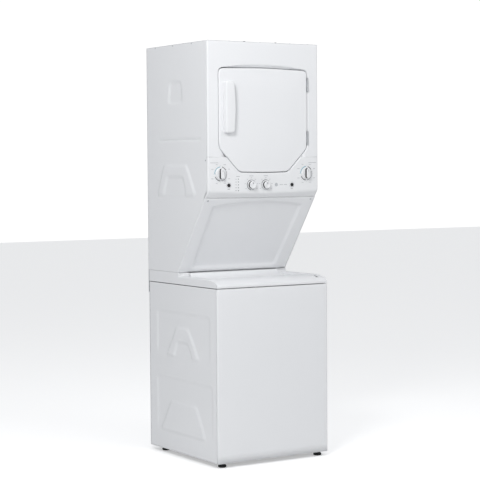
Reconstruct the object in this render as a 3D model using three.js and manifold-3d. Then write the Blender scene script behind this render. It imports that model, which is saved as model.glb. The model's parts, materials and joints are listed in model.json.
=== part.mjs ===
// A stacked washer and dryer in one 24 inch wide unit: a top-loading washer below, a front-loading
// vented dryer above it, and a slanted service panel between them that leaves room for the washer lid.
//
// Millimetres, +Z up, the front faces -Y. Parts are drawn with y = 0 at the washer's front face and
// z = 0 at the floor, and the whole machine is then moved back so that its origin is the centre of
// its footprint.

import * as THREE from 'three';
import { mergeVertices } from 'three/addons/utils/BufferGeometryUtils.js';
import Module from 'manifold-3d';

const wasm = await Module();
wasm.setup();

// ---------------------------------------------------------------- driving dimensions

const HALF = 301.5; // half the cabinet's width
const HEIGHT = 1920;
const DEPTH = 634; // the washer's face to the back of the dryer
const WASHER_BACK = 625;
const SHEET = 1.2; // cabinet sheet
const MOULD = 2; // wall of the cover and of plastic mouldings
const GAP = 0.4; // between pieces that touch
const CORNER_RETURN = 14; // how far the washer's front wraps round the corner
const CHEEK = 12; // how far the dryer's front and the control panel wrap round it

const FOOT_TOP = 20; // bottom edge of the cabinet
const FEET = { x: 262, front: 32, back: 545, stem: 4.7 };
const SEAM = 809; // the gap between the washer cabinet and its cover
const RIM = 848; // top of the cover's side rims
const DECK = 863; // top of the cover behind the lid

const LID = { half: 266, front: 26, back: 338, floor: 819, tail: 243 };
const LID_AXIS = { y: 352, z: 855, pin: 3, barrel: 6 };
const DECK_STEP = 345; // where the cover steps up from its rims to the deck
const WELL = { front: 24, back: 342, tail: 362, lip: 831 }; // the lid sits in it
const LOADING = { half: 215, front: 60, back: 325, frontR: 40, backR: 90 };

const TUB = { y: 312, r: 262, floor: 235, top: 738 };
const BASKET = { r: 240, floor: 252, top: 728, tube: 24, bore: 16.8 };
const DRIVE = { r: 88, low: 84, high: 100 };
const BELT = { low: 88.5, high: 95.5, thick: 3.5, slack: 1.3 };
const GEARCASE = { low: 108, r: 78, high: 226 };
const MOTOR = { y: 147, r: 65, pulley: 20, low: 112, high: 214 };
const PUMP = { x: -160, y: 430, r: 45, low: 64, high: 150, spout: 14 };
const VALVE = { xs: [-235, -195], z: 715, port: 13, bore: 8 };
const SUSPENSION = { reach: 305, hole: 5.5, low: 262, spring: 18, high: 790 }; // reach is from the tub's axis
const BRACKET = { low: 774, high: 777, wide: 25 };

const FACE = 73; // the dryer's front face, behind the washer's
const CREASE = { y: 100, z: 1212 }; // where the control panel's lip meets the slanted panel
const FOOT_OF_SLOPE = { y: 361, z: 855 };
const PANEL = { low: 1243, high: 1398, wall: 3 };
const FIELD = { low: 36, half: 229, high: 392, wide: 241, crest: 416, deep: 8 }; // up the slanted panel
const DOOR = { half: 240.5, top: 1803, corner: 1797, shoulder: 1441, chin: 132, chinZ: 1331, low: 1328 };
const DOOR_GAP = 3;
const DOOR_DEEP = 19;
const BULGE = { half: 165, low: 1425, high: 1715, r: 50, back: 101 }; // of the door's liner
const SEAL = { half: 195, low: 1392, high: 1745, lowR: 75, highR: 45, wide: 9 };
const HANDLE = { left: -218, right: -171, bow: -159, low: 1507, high: 1739, front: 46, wall: 12 };
const HINGE = { x: 242, y: FACE, knuckle: 4.2, pin: 2, tall: 64, mid: 24, heights: [1732, 1485.5] };

const DRUM = { r: 280, z: 1565, front: 132, back: 588, lip: 263, shaft: 10 };
const BAFFLE = { foot: 30, crest: 11, tall: 46, front: 160, back: 570 };
const BULKHEAD = 104;
const MOUTH = { half: 185, low: 1405, high: 1735, r: 60 }; // the front bulkhead's opening
const FILTER = { half: 97, low: 1316, high: 1404, front: 108, back: 118, rim: 6 };
const REAR_BULKHEAD = 600;
const HEATER = { half: 150, low: 1430, high: 1740, r: 40, back: 630 };
const TERMINAL = { left: -230, right: -130, low: 1000, high: 1100, front: 614 };
const REAR_HANG = 758; // the dryer's rear panel hangs to here behind the washer
const DRYER_FLOOR = { front: 368, z: 866 };
const FAN = { x: 120, z: 960, r: 78, shaft: 6, pulley: 14, belt: 341 };
const IDLER_R = 20;
const HOUSING = { front: 476, back: 534 };
const EXHAUST = { x: -60, z: 925, r: 50 };

const KNOB_SHAFT = { r: 3.4, back: 16, hole: 4.4 };
const BIG_KNOBS = { x: 234, z: 1322, r: 27, skirt: 6, front: 20 };
const GRIP = { half: 9, low: -23, high: 23, r: 7 }; // the raised bar on a big knob
const SMALL_KNOBS = { xs: [-70, 8], z: 1271, r: 19 };
const BUTTONS = { xs: [-192, 152], z: 1270, r: 8 };

const FINE = 32; // facets round a drum or tub
const MEDIUM = 20; // facets round a pulley or motor
const COARSE = 12; // facets round a pin or knob's shaft
const CURVE = 3; // facets along a rounded corner

const LOOKS = {
  enamel: { color: 0xf3f4f6, roughness: 0.32, metalness: 0 },
  whitePlastic: { color: 0xeff0f2, roughness: 0.45, metalness: 0 },
  steel: { color: 0xa9adb2, roughness: 0.4, metalness: 0.9 },
  galvanised: { color: 0x9aa0a6, roughness: 0.5, metalness: 0.8 },
  castMetal: { color: 0x6d7074, roughness: 0.6, metalness: 0.7 },
  blackPlastic: { color: 0x1d1e20, roughness: 0.5, metalness: 0 },
  rubber: { color: 0x262626, roughness: 0.9, metalness: 0 },
  greyPlastic: { color: 0xb9bcc0, roughness: 0.55, metalness: 0 },
};

// ---------------------------------------------------------------- joining and cutting

function signedVolume(position, index) {
  const [a, b, c] = [new THREE.Vector3(), new THREE.Vector3(), new THREE.Vector3()];
  let sum = 0;
  for (let i = 0; i < index.length; i += 3) {
    a.fromArray(position, 3 * index[i]);
    b.fromArray(position, 3 * index[i + 1]);
    c.fromArray(position, 3 * index[i + 2]);
    sum += a.dot(b.cross(c));
  }
  return sum / 6;
}

// A closed geometry as a solid, with its faces turned outwards.
function solidOf(geometry) {
  const loose = geometry.index ? geometry.toNonIndexed() : geometry;
  const bare = new THREE.BufferGeometry();
  bare.setAttribute('position', loose.attributes.position.clone());
  const merged = mergeVertices(bare, 1e-3);
  const position = merged.attributes.position.array;
  const index = [];
  for (let i = 0; i < merged.index.array.length; i += 3) {
    const [a, b, c] = merged.index.array.subarray(i, i + 3);
    if (a !== b && b !== c && c !== a) index.push(a, b, c);
  }
  if (signedVolume(position, index) < 0) index.reverse();
  const triVerts = Uint32Array.from(index);
  return new wasm.Manifold(new wasm.Mesh({ numProp: 3, vertProperties: position, triVerts }));
}

function geometryOf(solid) {
  const mesh = solid.getMesh();
  const geometry = new THREE.BufferGeometry();
  geometry.setAttribute('position', new THREE.BufferAttribute(mesh.vertProperties.slice(), 3));
  geometry.setIndex(new THREE.BufferAttribute(mesh.triVerts.slice(), 1));
  return geometry;
}

function combine(operation, first, others) {
  const solid = others.reduce((sum, other) => sum[operation](solidOf(other)), solidOf(first));
  return geometryOf(solid);
}

const join = (first, ...others) => combine('add', first, others);
const cut = (first, ...others) => combine('subtract', first, others);
const keep = (first, ...others) => combine('intersect', first, others);

// ---------------------------------------------------------------- basic shapes

function block(x0, x1, y0, y1, z0, z1) {
  const box = new THREE.BoxGeometry(x1 - x0, y1 - y0, z1 - z0);
  return box.translate((x0 + x1) / 2, (y0 + y1) / 2, (z0 + z1) / 2);
}

// A cylinder along an axis. Its centre is given by the two other coordinates, in order.
function rod(axis, r, [p, q], from, to, facets = COARSE) {
  const cylinder = new THREE.CylinderGeometry(r, r, to - from, facets);
  const middle = (from + to) / 2;
  if (axis === 'x') return cylinder.rotateZ(Math.PI / 2).translate(middle, p, q);
  if (axis === 'y') return cylinder.translate(p, middle, q);
  return cylinder.rotateX(Math.PI / 2).translate(p, q, middle);
}

// A profile of [radius, height] points turned about an axis through the origin.
function turned(axis, profile, facets = FINE) {
  const points = profile.map(([r, h]) => new THREE.Vector2(r, h));
  if (profile[0][0] > 0) points.push(points[0].clone());
  const lathe = new THREE.LatheGeometry(points, facets);
  return geometryOf(solidOf(axis === 'z' ? lathe.rotateX(Math.PI / 2) : lathe));
}

// A closed outline of [a, b, radius] corners, each rounded by its radius.
function outline(corners) {
  const shape = new THREE.Shape();
  corners.forEach(([a, b, radius = 0], i) => {
    const here = new THREE.Vector2(a, b);
    const before = new THREE.Vector2(...corners.at(i - 1)).sub(here).normalize();
    const after = new THREE.Vector2(...corners[(i + 1) % corners.length]).sub(here).normalize();
    const reach = radius / Math.tan(Math.acos(before.dot(after)) / 2);
    const start = here.clone().addScaledVector(before, reach);
    if (i === 0) shape.moveTo(start.x, start.y);
    else shape.lineTo(start.x, start.y);
    const end = here.clone().addScaledVector(after, reach);
    if (radius > 0) shape.quadraticCurveTo(a, b, end.x, end.y);
  });
  shape.closePath();
  return shape;
}

function extruded(shape, depth) {
  return new THREE.ExtrudeGeometry(shape, { depth, bevelEnabled: false, curveSegments: CURVE });
}

// A box's outline {half, low, high}, grown by a distance, with its own radius low down and high up.
function rounded({ half, low, high }, grow, lowR, highR) {
  const [side, bottom, top] = [half + grow, low - grow, high + grow];
  return outline([[-side, bottom, lowR], [side, bottom, lowR], [side, top, highR], [-side, top, highR]]);
}

// Extrusions along each axis: the outline is drawn in (y, z), (x, z) or (x, y).
function alongX(shape, x0, x1) {
  const turn = new THREE.Matrix4();
  turn.makeBasis(new THREE.Vector3(0, 1, 0), new THREE.Vector3(0, 0, 1), new THREE.Vector3(1, 0, 0));
  return extruded(shape, x1 - x0).applyMatrix4(turn).translate(x0, 0, 0);
}

function alongY(shape, y0, y1) {
  return extruded(shape, y1 - y0).rotateX(Math.PI / 2).translate(0, y1, 0);
}

function alongZ(shape, z0, z1) {
  return extruded(shape, z1 - z0).translate(0, 0, z0);
}

// The outline of a belt or strap round two circles.
function loop([a1, b1], r1, [a2, b2], r2, facets = 16) {
  const distance = Math.hypot(a2 - a1, b2 - b1);
  const heading = Math.atan2(b2 - b1, a2 - a1);
  const side = Math.acos((r1 - r2) / distance);
  const arc = (a, b, r, start, sweep) => Array.from({ length: facets + 1 }, (_, i) => {
    const angle = start + (sweep * i) / facets;
    return new THREE.Vector2(a + r * Math.cos(angle), b + r * Math.sin(angle));
  });
  return new THREE.Shape([
    ...arc(a1, b1, r1, heading + side, 2 * (Math.PI - side)),
    ...arc(a2, b2, r2, heading - side, 2 * side),
  ]);
}

function withHole(shape, hole) {
  shape.holes.push(hole);
  return shape;
}

// ---------------------------------------------------------------- the machine

const machine = new THREE.Group();
machine.position.y = -DEPTH / 2;

function addPart(name, geometry, look, parent = machine) {
  const mesh = new THREE.Mesh(geometry, new THREE.MeshStandardMaterial(LOOKS[look]));
  mesh.name = name;
  parent.add(mesh);
  return mesh;
}

const INSIDE = HALF - SHEET; // inner face of a side panel
const CABINET_TOP = SEAM - 1.5;
const COVER_LOW = SEAM + 1.5;

// ---- washer cabinet

const ROD_X = SUSPENSION.reach * Math.SQRT1_2;
const ROD_YS = [TUB.y - ROD_X, TUB.y + ROD_X];

function addFeet() {
  const corners = {
    front_left: [-FEET.x, FEET.front],
    front_right: [FEET.x, FEET.front],
    rear_left: [-FEET.x, FEET.back],
    rear_right: [FEET.x, FEET.back],
  };
  const profile = [[0, 0], [17, 0], [19, 3], [19, 10], [13, 14], [13, FOOT_TOP + 0.5]];
  profile.push([FEET.stem, FOOT_TOP + 0.5], [FEET.stem, 50], [0, 50]);
  for (const [corner, [x, y]] of Object.entries(corners)) {
    addPart(`levelling_foot_${corner}`, turned('z', profile, COARSE), 'rubber').position.set(x, y, 0);
  }
}

function addBaseFrame() {
  const wall = 1.5;
  const low = FOOT_TOP + 1;
  const [front, back, side] = [SHEET + GAP, WASHER_BACK - SHEET - GAP, INSIDE - GAP];
  let pan = block(-side, side, front, back, low, 61);
  pan = cut(pan, block(wall - side, side - wall, front + wall, back - wall, low + 2, 70));
  pan = cut(pan, block(-225, 225, 75, 500, 0, 70));
  for (const x of [-FEET.x, FEET.x]) {
    for (const y of [FEET.front, FEET.back]) {
      pan = join(pan, rod('z', 10, [x, y], low + 1, low + 12, 6));
      pan = cut(pan, rod('z', FEET.stem + 0.7, [x, y], 0, 60));
    }
  }
  addPart('base_frame', pan, 'galvanised');
}

// The plan of a front sheet whose ends wrap back round the cabinet's corners.
function wrapped(face, deep) {
  const back = face + deep;
  return outline([
    [-HALF, face], [HALF, face], [HALF, back], [INSIDE, back],
    [INSIDE, face + SHEET], [-INSIDE, face + SHEET], [-INSIDE, back], [-HALF, back],
  ]);
}

function addWasherPanels() {
  addPart('washer_front_panel', alongZ(wrapped(0, CORNER_RETURN), FOOT_TOP, CABINET_TOP), 'enamel');

  const start = CORNER_RETURN + GAP;
  const end = WASHER_BACK - SHEET - GAP;
  for (const [name, side] of [['washer_left_panel', -1], ['washer_right_panel', 1]]) {
    let panel = block(INSIDE, HALF, start, end, FOOT_TOP, CABINET_TOP);
    for (const y of ROD_YS) {
      const [near, far] = [y - BRACKET.wide, y + BRACKET.wide];
      panel = join(panel, block(ROD_X - BRACKET.wide, INSIDE + 0.5, near, far, BRACKET.low, BRACKET.high));
      panel = cut(panel, rod('z', SUSPENSION.hole, [ROD_X, y], BRACKET.low - 1, BRACKET.high + 1));
    }
    addPart(name, side < 0 ? mirrored(panel) : panel, 'enamel');
  }

  let rear = block(-HALF, HALF, WASHER_BACK - SHEET, WASHER_BACK, FOOT_TOP, CABINET_TOP);
  for (const x of VALVE.xs) rear = cut(rear, rod('y', VALVE.port + 2, [x, VALVE.z], 600, 640));
  addPart('washer_rear_panel', rear, 'galvanised');
}

// The same piece for the other side of the machine.
function mirrored(geometry) {
  return geometryOf(solidOf(geometry.clone().scale(-1, 1, 1)));
}

// ---- washer cover and lid

// The top line of the cover's rim, from the front edge back to the flat.
function rimLine(drop = 0, from = 0) {
  const curve = new THREE.QuadraticBezierCurve(
    new THREE.Vector2(from, 824 - drop),
    new THREE.Vector2(20, 846 - drop),
    new THREE.Vector2(107, RIM - drop),
  );
  return curve.getPoints(8).map((point) => [point.x, point.y]);
}

function addCover() {
  const wall = MOULD;
  const outer = [[0, COVER_LOW], ...rimLine(), [DECK_STEP, RIM], [DECK_STEP, DECK]];
  outer.push([WASHER_BACK, DECK], [WASHER_BACK, COVER_LOW]);
  const step = DECK_STEP + wall;
  const under = [[wall, 0], ...rimLine(wall, wall), [step, RIM - wall], [step, DECK - wall]];
  under.push([WASHER_BACK - wall, DECK - wall], [WASHER_BACK - wall, 0]);
  let cover = alongX(outline(outer), -HALF, HALF);
  cover = cut(cover, alongX(outline(under), wall - HALF, HALF - wall));

  // The lid's well: a tray with a ledge under the lid's edge, and the loading opening through it.
  const well = LID.half + 2;
  const notch = LID.tail + 2;
  const ledge = LID.floor - 1;
  const { front, back, tail } = WELL;
  const { half, frontR, backR } = LOADING;
  cover = join(
    cover,
    block(-well - wall, well + wall, front - wall, back + wall, ledge - wall, WELL.lip),
    block(-well - wall, well + wall, LOADING.front, back + wall, ledge - wall, RIM - 1),
    block(-notch - wall, notch + wall, back, tail + wall, ledge - wall, DECK - 1),
  );
  cover = cut(
    cover,
    block(-well, well, front, back, ledge, 900),
    block(-notch, notch, back - 1, tail, ledge, 900),
    alongZ(outline([
      [-half, LOADING.front, frontR], [half, LOADING.front, frontR],
      [half, LOADING.back, backR], [-half, LOADING.back, backR],
    ]), ledge - 28, 900),
  );
  for (const side of [-1, 1]) {
    const ends = [side * (LID.tail - 2), side * (LID.tail + 14)].sort((a, b) => a - b);
    const boss = rod('x', LID_AXIS.pin + 0.6, [LID_AXIS.y, LID_AXIS.z], ...ends);
    cover = cut(cover, boss);
  }
  addPart('washer_top_cover', cover, 'enamel');
}

function addLid() {
  const skin = 1.5;
  const wall = MOULD;
  const top = (drop) => [
    ...rimLine(drop + 1.5, LID.front).map(([y, z]) => [Math.max(y, LID.front), z]),
    [300, 832 - drop], [322, 836 - drop],
  ];
  const body = [[LID.front, LID.floor], ...top(0), [LID.back, 848], [LID.back, LID.floor]];
  const inFront = LID.front + wall;
  const hollow = [[inFront, 800], [inFront, 826], ...top(skin).slice(5), [LID.back - 8, 800]];
  const { y, z, barrel, pin } = LID_AXIS;
  const tail = [[318, 834], [342, z + barrel - 1], [y, z + barrel], [y + 4, z + 4]];
  tail.push([y + barrel, z], [y + 4, z - 4], [y, z - barrel], [336, 838], [326, 829]);
  let lid = alongX(outline(body), -LID.half, LID.half);
  lid = cut(lid, alongX(outline(hollow), wall - LID.half, LID.half - wall));
  lid = cut(lid, block(-300, 300, LID.back - 6, 360, 840, 900));
  lid = join(lid, alongX(outline(tail), -LID.tail, LID.tail));
  lid = join(lid, rod('x', pin, [y, z], -LID.tail - 10, LID.tail + 10));
  addPart('washer_lid', lid, 'enamel');
}

// ---- washer works

function addTub() {
  const { r, floor, top } = TUB;
  let tub = turned('z', [
    [30, floor], [r - 12, floor], [r, floor + 12], [r, top],
    [r - 3, top], [r - 3, floor + 13], [r - 13, floor + 3], [30, floor + 3],
  ]);
  for (const angle of [45, 135, 225, 315]) {
    const { reach, hole } = SUSPENSION;
    const lug = cut(block(r - 2, reach + 15, -16, 16, 296, 302), rod('z', hole, [reach, 0], 290, 310));
    tub = join(tub, lug.rotateZ(THREE.MathUtils.degToRad(angle)));
  }
  addPart('outer_tub', tub, 'greyPlastic').position.y = TUB.y;

  const ring = [[212, top + GAP], [r + 5, top + GAP], [r + 5, top + 8], [220, top + 12], [212, top + 12]];
  addPart('tub_cover_ring', turned('z', ring), 'greyPlastic').position.y = TUB.y;

  const { low, spring, high } = SUSPENSION;
  const seat = BRACKET.high + 1;
  const profile = [[0, low], [spring, low], [spring, 295.5], [4, 295.5], [4, seat], [12, seat]];
  profile.push([12, high], [0, high]);
  const places = [['front', ROD_YS[0]], ['rear', ROD_YS[1]]];
  for (const [row, y] of places) {
    for (const [side, x] of [['left', -ROD_X], ['right', ROD_X]]) {
      const rodMesh = addPart(`suspension_rod_${row}_${side}`, turned('z', profile, COARSE), 'steel');
      rodMesh.position.set(x, y, 0);
    }
  }
}

function addBasket() {
  const { r, floor, top, tube, bore } = BASKET;
  const basket = turned('z', [
    [bore, floor - 24], [tube, floor - 24], [tube, floor], [r - 10, floor], [r, floor + 10],
    [r, top - 29], [r + 3, top - 26], [r + 3, top], [r - 18, top], [r - 18, top - 26],
    [r - 1.8, top - 29], [r - 1.8, floor + 11], [r - 11, floor + 2], [bore, floor + 2],
  ]);
  addPart('wash_basket', basket, 'steel').position.y = TUB.y;

  let agitator = turned('z', [
    [0, 232], [12, 232], [12, 636], [36, 636], [36, 560], [42, 420], [66, 328], [107, 279],
    [146, 262], [146, 258], [150, 258], [150, 264], [110, 283], [70, 330], [46, 420], [40, 560],
    [42, 640], [30, 652], [0, 652],
  ], 20);
  const vane = outline([
    [38, 560], [60, 560], [66, 420], [100, 345], [140, 310], [147, 263], [108, 281], [68, 330], [44, 420],
  ]);
  for (let i = 0; i < 4; i += 1) {
    agitator = join(agitator, alongY(vane, -3, 3).rotateZ((i * Math.PI) / 2));
  }
  addPart('agitator', agitator, 'greyPlastic').position.y = TUB.y;
}

function grooved(radius, hub, hubTop, facets) {
  const { low, high } = DRIVE;
  const rim = radius + 5;
  const profile = [[0, low], [rim, low], [rim, low + 2], [radius, low + 4], [radius, high - 4]];
  profile.push([rim, high - 2], [rim, high], [hub, high], [hub, hubTop], [0, hubTop]);
  return turned('z', profile, facets);
}

function addWasherDrive() {
  addPart('drive_pulley', grooved(DRIVE.r, 14, 107, FINE), 'castMetal').position.y = TUB.y;
  addPart('washer_motor_pulley', grooved(MOTOR.pulley, 8, 111.5, 16), 'castMetal').position.y = MOTOR.y;

  const { slack, thick } = BELT;
  const centres = [[0, TUB.y], [0, MOTOR.y]];
  const at = (extra) => loop(centres[0], DRIVE.r + extra, centres[1], MOTOR.pulley + extra);
  addPart('washer_belt', alongZ(withHole(at(slack + thick), at(slack)), BELT.low, BELT.high), 'rubber');

  const casing = [[0, GEARCASE.low], [30, GEARCASE.low], [GEARCASE.r, 130], [GEARCASE.r, 200]];
  casing.push([50, GEARCASE.high], [0, GEARCASE.high]);
  addPart('gearcase', turned('z', casing, MEDIUM), 'castMetal').position.y = TUB.y;

  const { r, low, high } = MOTOR;
  const can = [[0, low], [r - 5, low], [r, low + 6], [r, high - 9], [r - 8, high], [0, high]];
  const motor = join(
    turned('z', can, MEDIUM),
    block(-45, 45, -50, 78, 210, 216),
    block(-45, -37, -50, 78, 215, TUB.floor - GAP),
    block(37, 45, -50, 78, 215, TUB.floor - GAP),
  );
  addPart('washer_motor', motor, 'castMetal').position.y = MOTOR.y;

  const pumpBody = turned('z', [
    [0, PUMP.low], [PUMP.r, PUMP.low], [PUMP.r, 120], [20, 130], [20, PUMP.high], [0, PUMP.high],
  ], MEDIUM);
  const pump = join(pumpBody, rod('y', PUMP.spout, [0, 95], 0, 2 * PUMP.r));
  addPart('drain_pump', pump, 'blackPlastic').position.set(PUMP.x, PUMP.y, 0);

  let valve = block(-258, -172, 588, WASHER_BACK - SHEET - GAP, 692, 738);
  for (const x of VALVE.xs) valve = join(valve, rod('y', VALVE.port, [x, VALVE.z], 610, DEPTH - 0.5));
  for (const x of VALVE.xs) valve = cut(valve, rod('y', VALVE.bore, [x, VALVE.z], 618, DEPTH + 1));
  addPart('water_inlet_valve', valve, 'blackPlastic');
}

// ---- dryer cabinet

const LIP_ANGLE = Math.atan2(CREASE.y - FACE, PANEL.low - CREASE.z);
const SLOPE_ANGLE = Math.atan2(FOOT_OF_SLOPE.y - CREASE.y, CREASE.z - FOOT_OF_SLOPE.z);
const FLOOR_EDGE = DECK + 1.4; // bottom edge of the dryer's side and slanted panels
const FLOOR_TOP = DRYER_FLOOR.z + SHEET;

// The y of a line behind the slanted panel's face, at a height.
function behindSlope(distance, z) {
  return FOOT_OF_SLOPE.y - (z - FOOT_OF_SLOPE.z) * Math.tan(SLOPE_ANGLE) + distance / Math.cos(SLOPE_ANGLE);
}

// The z of a line behind the control panel's lip, at a depth.
function aboveLip(distance, y) {
  return PANEL.low - (y - FACE) / Math.tan(LIP_ANGLE) + distance / Math.sin(LIP_ANGLE);
}

function addDryerPanels() {
  const top = HEIGHT - SHEET - GAP;
  const back = DEPTH - SHEET - GAP;
  const front = FACE + CHEEK + GAP;
  const turn = CREASE.y + 4;
  const side = outline([
    [front, top], [front, aboveLip(3.8, front)], [turn, aboveLip(3.8, turn)],
    [behindSlope(1.8, FLOOR_EDGE), FLOOR_EDGE], [back, FLOOR_EDGE], [back, top],
  ]);
  addPart('dryer_left_panel', alongX(side, -HALF, -INSIDE), 'enamel');
  addPart('dryer_right_panel', alongX(side, INSIDE, HALF), 'enamel');
  addPart('dryer_top_panel', block(-HALF, HALF, FACE, DEPTH, HEIGHT - SHEET, HEIGHT), 'enamel');

  let rear = block(-INSIDE, INSIDE, DEPTH - SHEET, DEPTH, REAR_HANG, top);
  for (const [x0, x1] of [[-INSIDE, SHEET - INSIDE], [INSIDE - SHEET, INSIDE]]) {
    rear = join(rear, block(x0, x1, WASHER_BACK + GAP, DEPTH, REAR_HANG, DECK));
  }
  rear = cut(rear, rod('y', EXHAUST.r + 2, [EXHAUST.x, EXHAUST.z], 600, 640, MEDIUM));
  const terminal = (grow, y0, y1) => block(
    TERMINAL.left - grow, TERMINAL.right + grow, y0, y1, TERMINAL.low - grow, TERMINAL.high + grow,
  );
  rear = cut(rear, terminal(0.5, 600, 640));
  addPart('dryer_rear_panel', rear, 'galvanised');
  const box = cut(terminal(0, TERMINAL.front, DEPTH), terminal(-MOULD, 600, DEPTH - SHEET));
  addPart('terminal_cover', box, 'galvanised');

  const floor = block(GAP - INSIDE, INSIDE - GAP, DRYER_FLOOR.front, back - 1, DRYER_FLOOR.z, FLOOR_TOP);
  addPart('dryer_floor', floor, 'galvanised');
}

function addServicePanel() {
  const reach = (z) => (z - FOOT_OF_SLOPE.z) / Math.cos(SLOPE_ANGLE);
  const low = reach(FLOOR_EDGE);
  const high = reach(CREASE.z) - 1;
  const field = (inset) => {
    const [half, wide] = [FIELD.half - inset, FIELD.wide - inset];
    const [foot, head] = [FIELD.low + inset, FIELD.high - inset];
    return outline([
      [-half, foot, 18], [half, foot, 18], [wide, head, 26], [0, FIELD.crest - inset, 900], [-wide, head, 26],
    ]);
  };
  let panel = alongZ(outline([[-HALF, low], [HALF, low], [HALF, high], [-HALF, high]]), -SHEET, 0);
  panel = join(panel, alongZ(field(-SHEET), -FIELD.deep, 0));
  panel = cut(panel, alongZ(field(0), SHEET - FIELD.deep, 1));
  const mesh = addPart('service_panel', panel, 'enamel');
  mesh.position.set(0, FOOT_OF_SLOPE.y, FOOT_OF_SLOPE.z);
  mesh.rotation.x = Math.PI / 2 + SLOPE_ANGLE;
}

// The door's outline, grown by a distance. Its lower corners are cut off at 45 degrees.
function doorOutline(grow) {
  const half = DOOR.half + grow;
  const shoulder = DOOR.shoulder - 0.41 * grow;
  const chin = DOOR.chin + 0.42 * grow;
  return outline([
    [-chin, DOOR.chinZ - grow, 50], [0, DOOR.low - grow, 2000], [chin, DOOR.chinZ - grow, 50],
    [half, shoulder, 60], [half, DOOR.corner + grow, 27], [0, DOOR.top + grow, 2000],
    [-half, DOOR.corner + grow, 27], [-half, shoulder, 60],
  ]);
}

function hingeNotches(x0, x1) {
  return HINGE.heights.map((z) => block(x0, x1, 60, 78, z - HINGE.tall / 2 - 0.6, z + HINGE.tall / 2 + 0.6));
}

function addFronts() {
  const collar = () => withHole(doorOutline(DOOR_GAP + SHEET), doorOutline(DOOR_GAP));
  const rim = () => alongY(collar(), FACE, BULKHEAD - GAP);
  const hole = alongY(doorOutline(DOOR_GAP), 60, 120);
  const split = [PANEL.high - GAP, PANEL.high + GAP];
  const top = HEIGHT - SHEET - GAP;
  const sheet = cut(alongZ(wrapped(FACE, CHEEK), split[1], top), hole);
  const upperRim = keep(rim(), block(-400, 400, 0, 200, split[1], 1900));
  addPart('dryer_front_panel', cut(join(sheet, upperRim), ...hingeNotches(241, 247)), 'enamel');

  const { wall } = PANEL;
  const back = CREASE.y - wall * Math.cos(LIP_ANGLE);
  const rise = wall * Math.sin(LIP_ANGLE);
  const bend = PANEL.low + wall * Math.tan((Math.PI / 2 - LIP_ANGLE) / 2);
  const section = outline([
    [FACE, split[0]], [FACE, PANEL.low], [CREASE.y, CREASE.z], [2 * CREASE.y - back, CREASE.z + rise],
    [FACE + wall, bend], [FACE + wall, split[0]],
  ]);
  const cheek = outline([
    [FACE, split[0]], [FACE, PANEL.low], [FACE + CHEEK, aboveLip(0, FACE + CHEEK)], [FACE + CHEEK, split[0]],
  ]);
  let panel = join(
    alongX(section, -HALF, HALF),
    alongX(cheek, -HALF, wall - HALF),
    alongX(cheek, HALF - wall, HALF),
  );
  panel = cut(panel, hole);
  panel = join(panel, keep(rim(), block(-400, 400, 0, 200, 1200, split[0])));
  const bore = (r, x, z) => rod('y', r, [x, z], 60, 90);
  for (const x of [-BIG_KNOBS.x, BIG_KNOBS.x]) panel = cut(panel, bore(KNOB_SHAFT.hole, x, BIG_KNOBS.z));
  for (const x of SMALL_KNOBS.xs) panel = cut(panel, bore(KNOB_SHAFT.hole, x, SMALL_KNOBS.z));
  for (const x of BUTTONS.xs) panel = cut(panel, bore(BUTTONS.r + 0.9, x, BUTTONS.z));
  addPart('control_panel', panel, 'whitePlastic');
}

// ---- controls

function addControls() {
  const shaft = [[0, KNOB_SHAFT.back], [KNOB_SHAFT.r, KNOB_SHAFT.back], [KNOB_SHAFT.r, -0.6]];
  const big = BIG_KNOBS.r;
  const { skirt, front } = BIG_KNOBS;
  const bigProfile = [...shaft, [big, -0.6], [big, 2 - skirt], [big - 2, -skirt], [0, -skirt]];
  const grip = alongY(rounded(GRIP, 0, GRIP.r, GRIP.r), -front, 0.5 - skirt);
  for (const [name, side] of [['washer_cycle_knob', -1], ['dryer_cycle_knob', 1]]) {
    const knob = join(turned('y', bigProfile, 20), grip);
    addPart(name, knob, 'whitePlastic').position.set(side * BIG_KNOBS.x, FACE, BIG_KNOBS.z);
  }
  const r = SMALL_KNOBS.r;
  const smallProfile = [...shaft, [r, -0.6], [r, -4], [r - 2, -16], [r - 4, -18], [0, -18]];
  ['water_temperature_knob', 'load_size_knob'].forEach((name, i) => {
    const knob = addPart(name, turned('y', smallProfile, 20), 'whitePlastic');
    knob.position.set(SMALL_KNOBS.xs[i], FACE, SMALL_KNOBS.z);
  });
  const push = BUTTONS.r;
  const buttonProfile = [[0, 12], [4, 12], [4, 5.8], [push + 2.5, 5.8], [push + 2.5, 3.6], [push, 3.6]];
  buttonProfile.push([push, -3], [push - 1.5, -4], [0, -4.4]);
  ['washer_start_button', 'dryer_start_button'].forEach((name, i) => {
    const button = addPart(name, turned('y', buttonProfile, COARSE), 'blackPlastic');
    button.position.set(BUTTONS.xs[i], FACE, BUTTONS.z);
  });
}

// ---- dryer door

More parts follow.
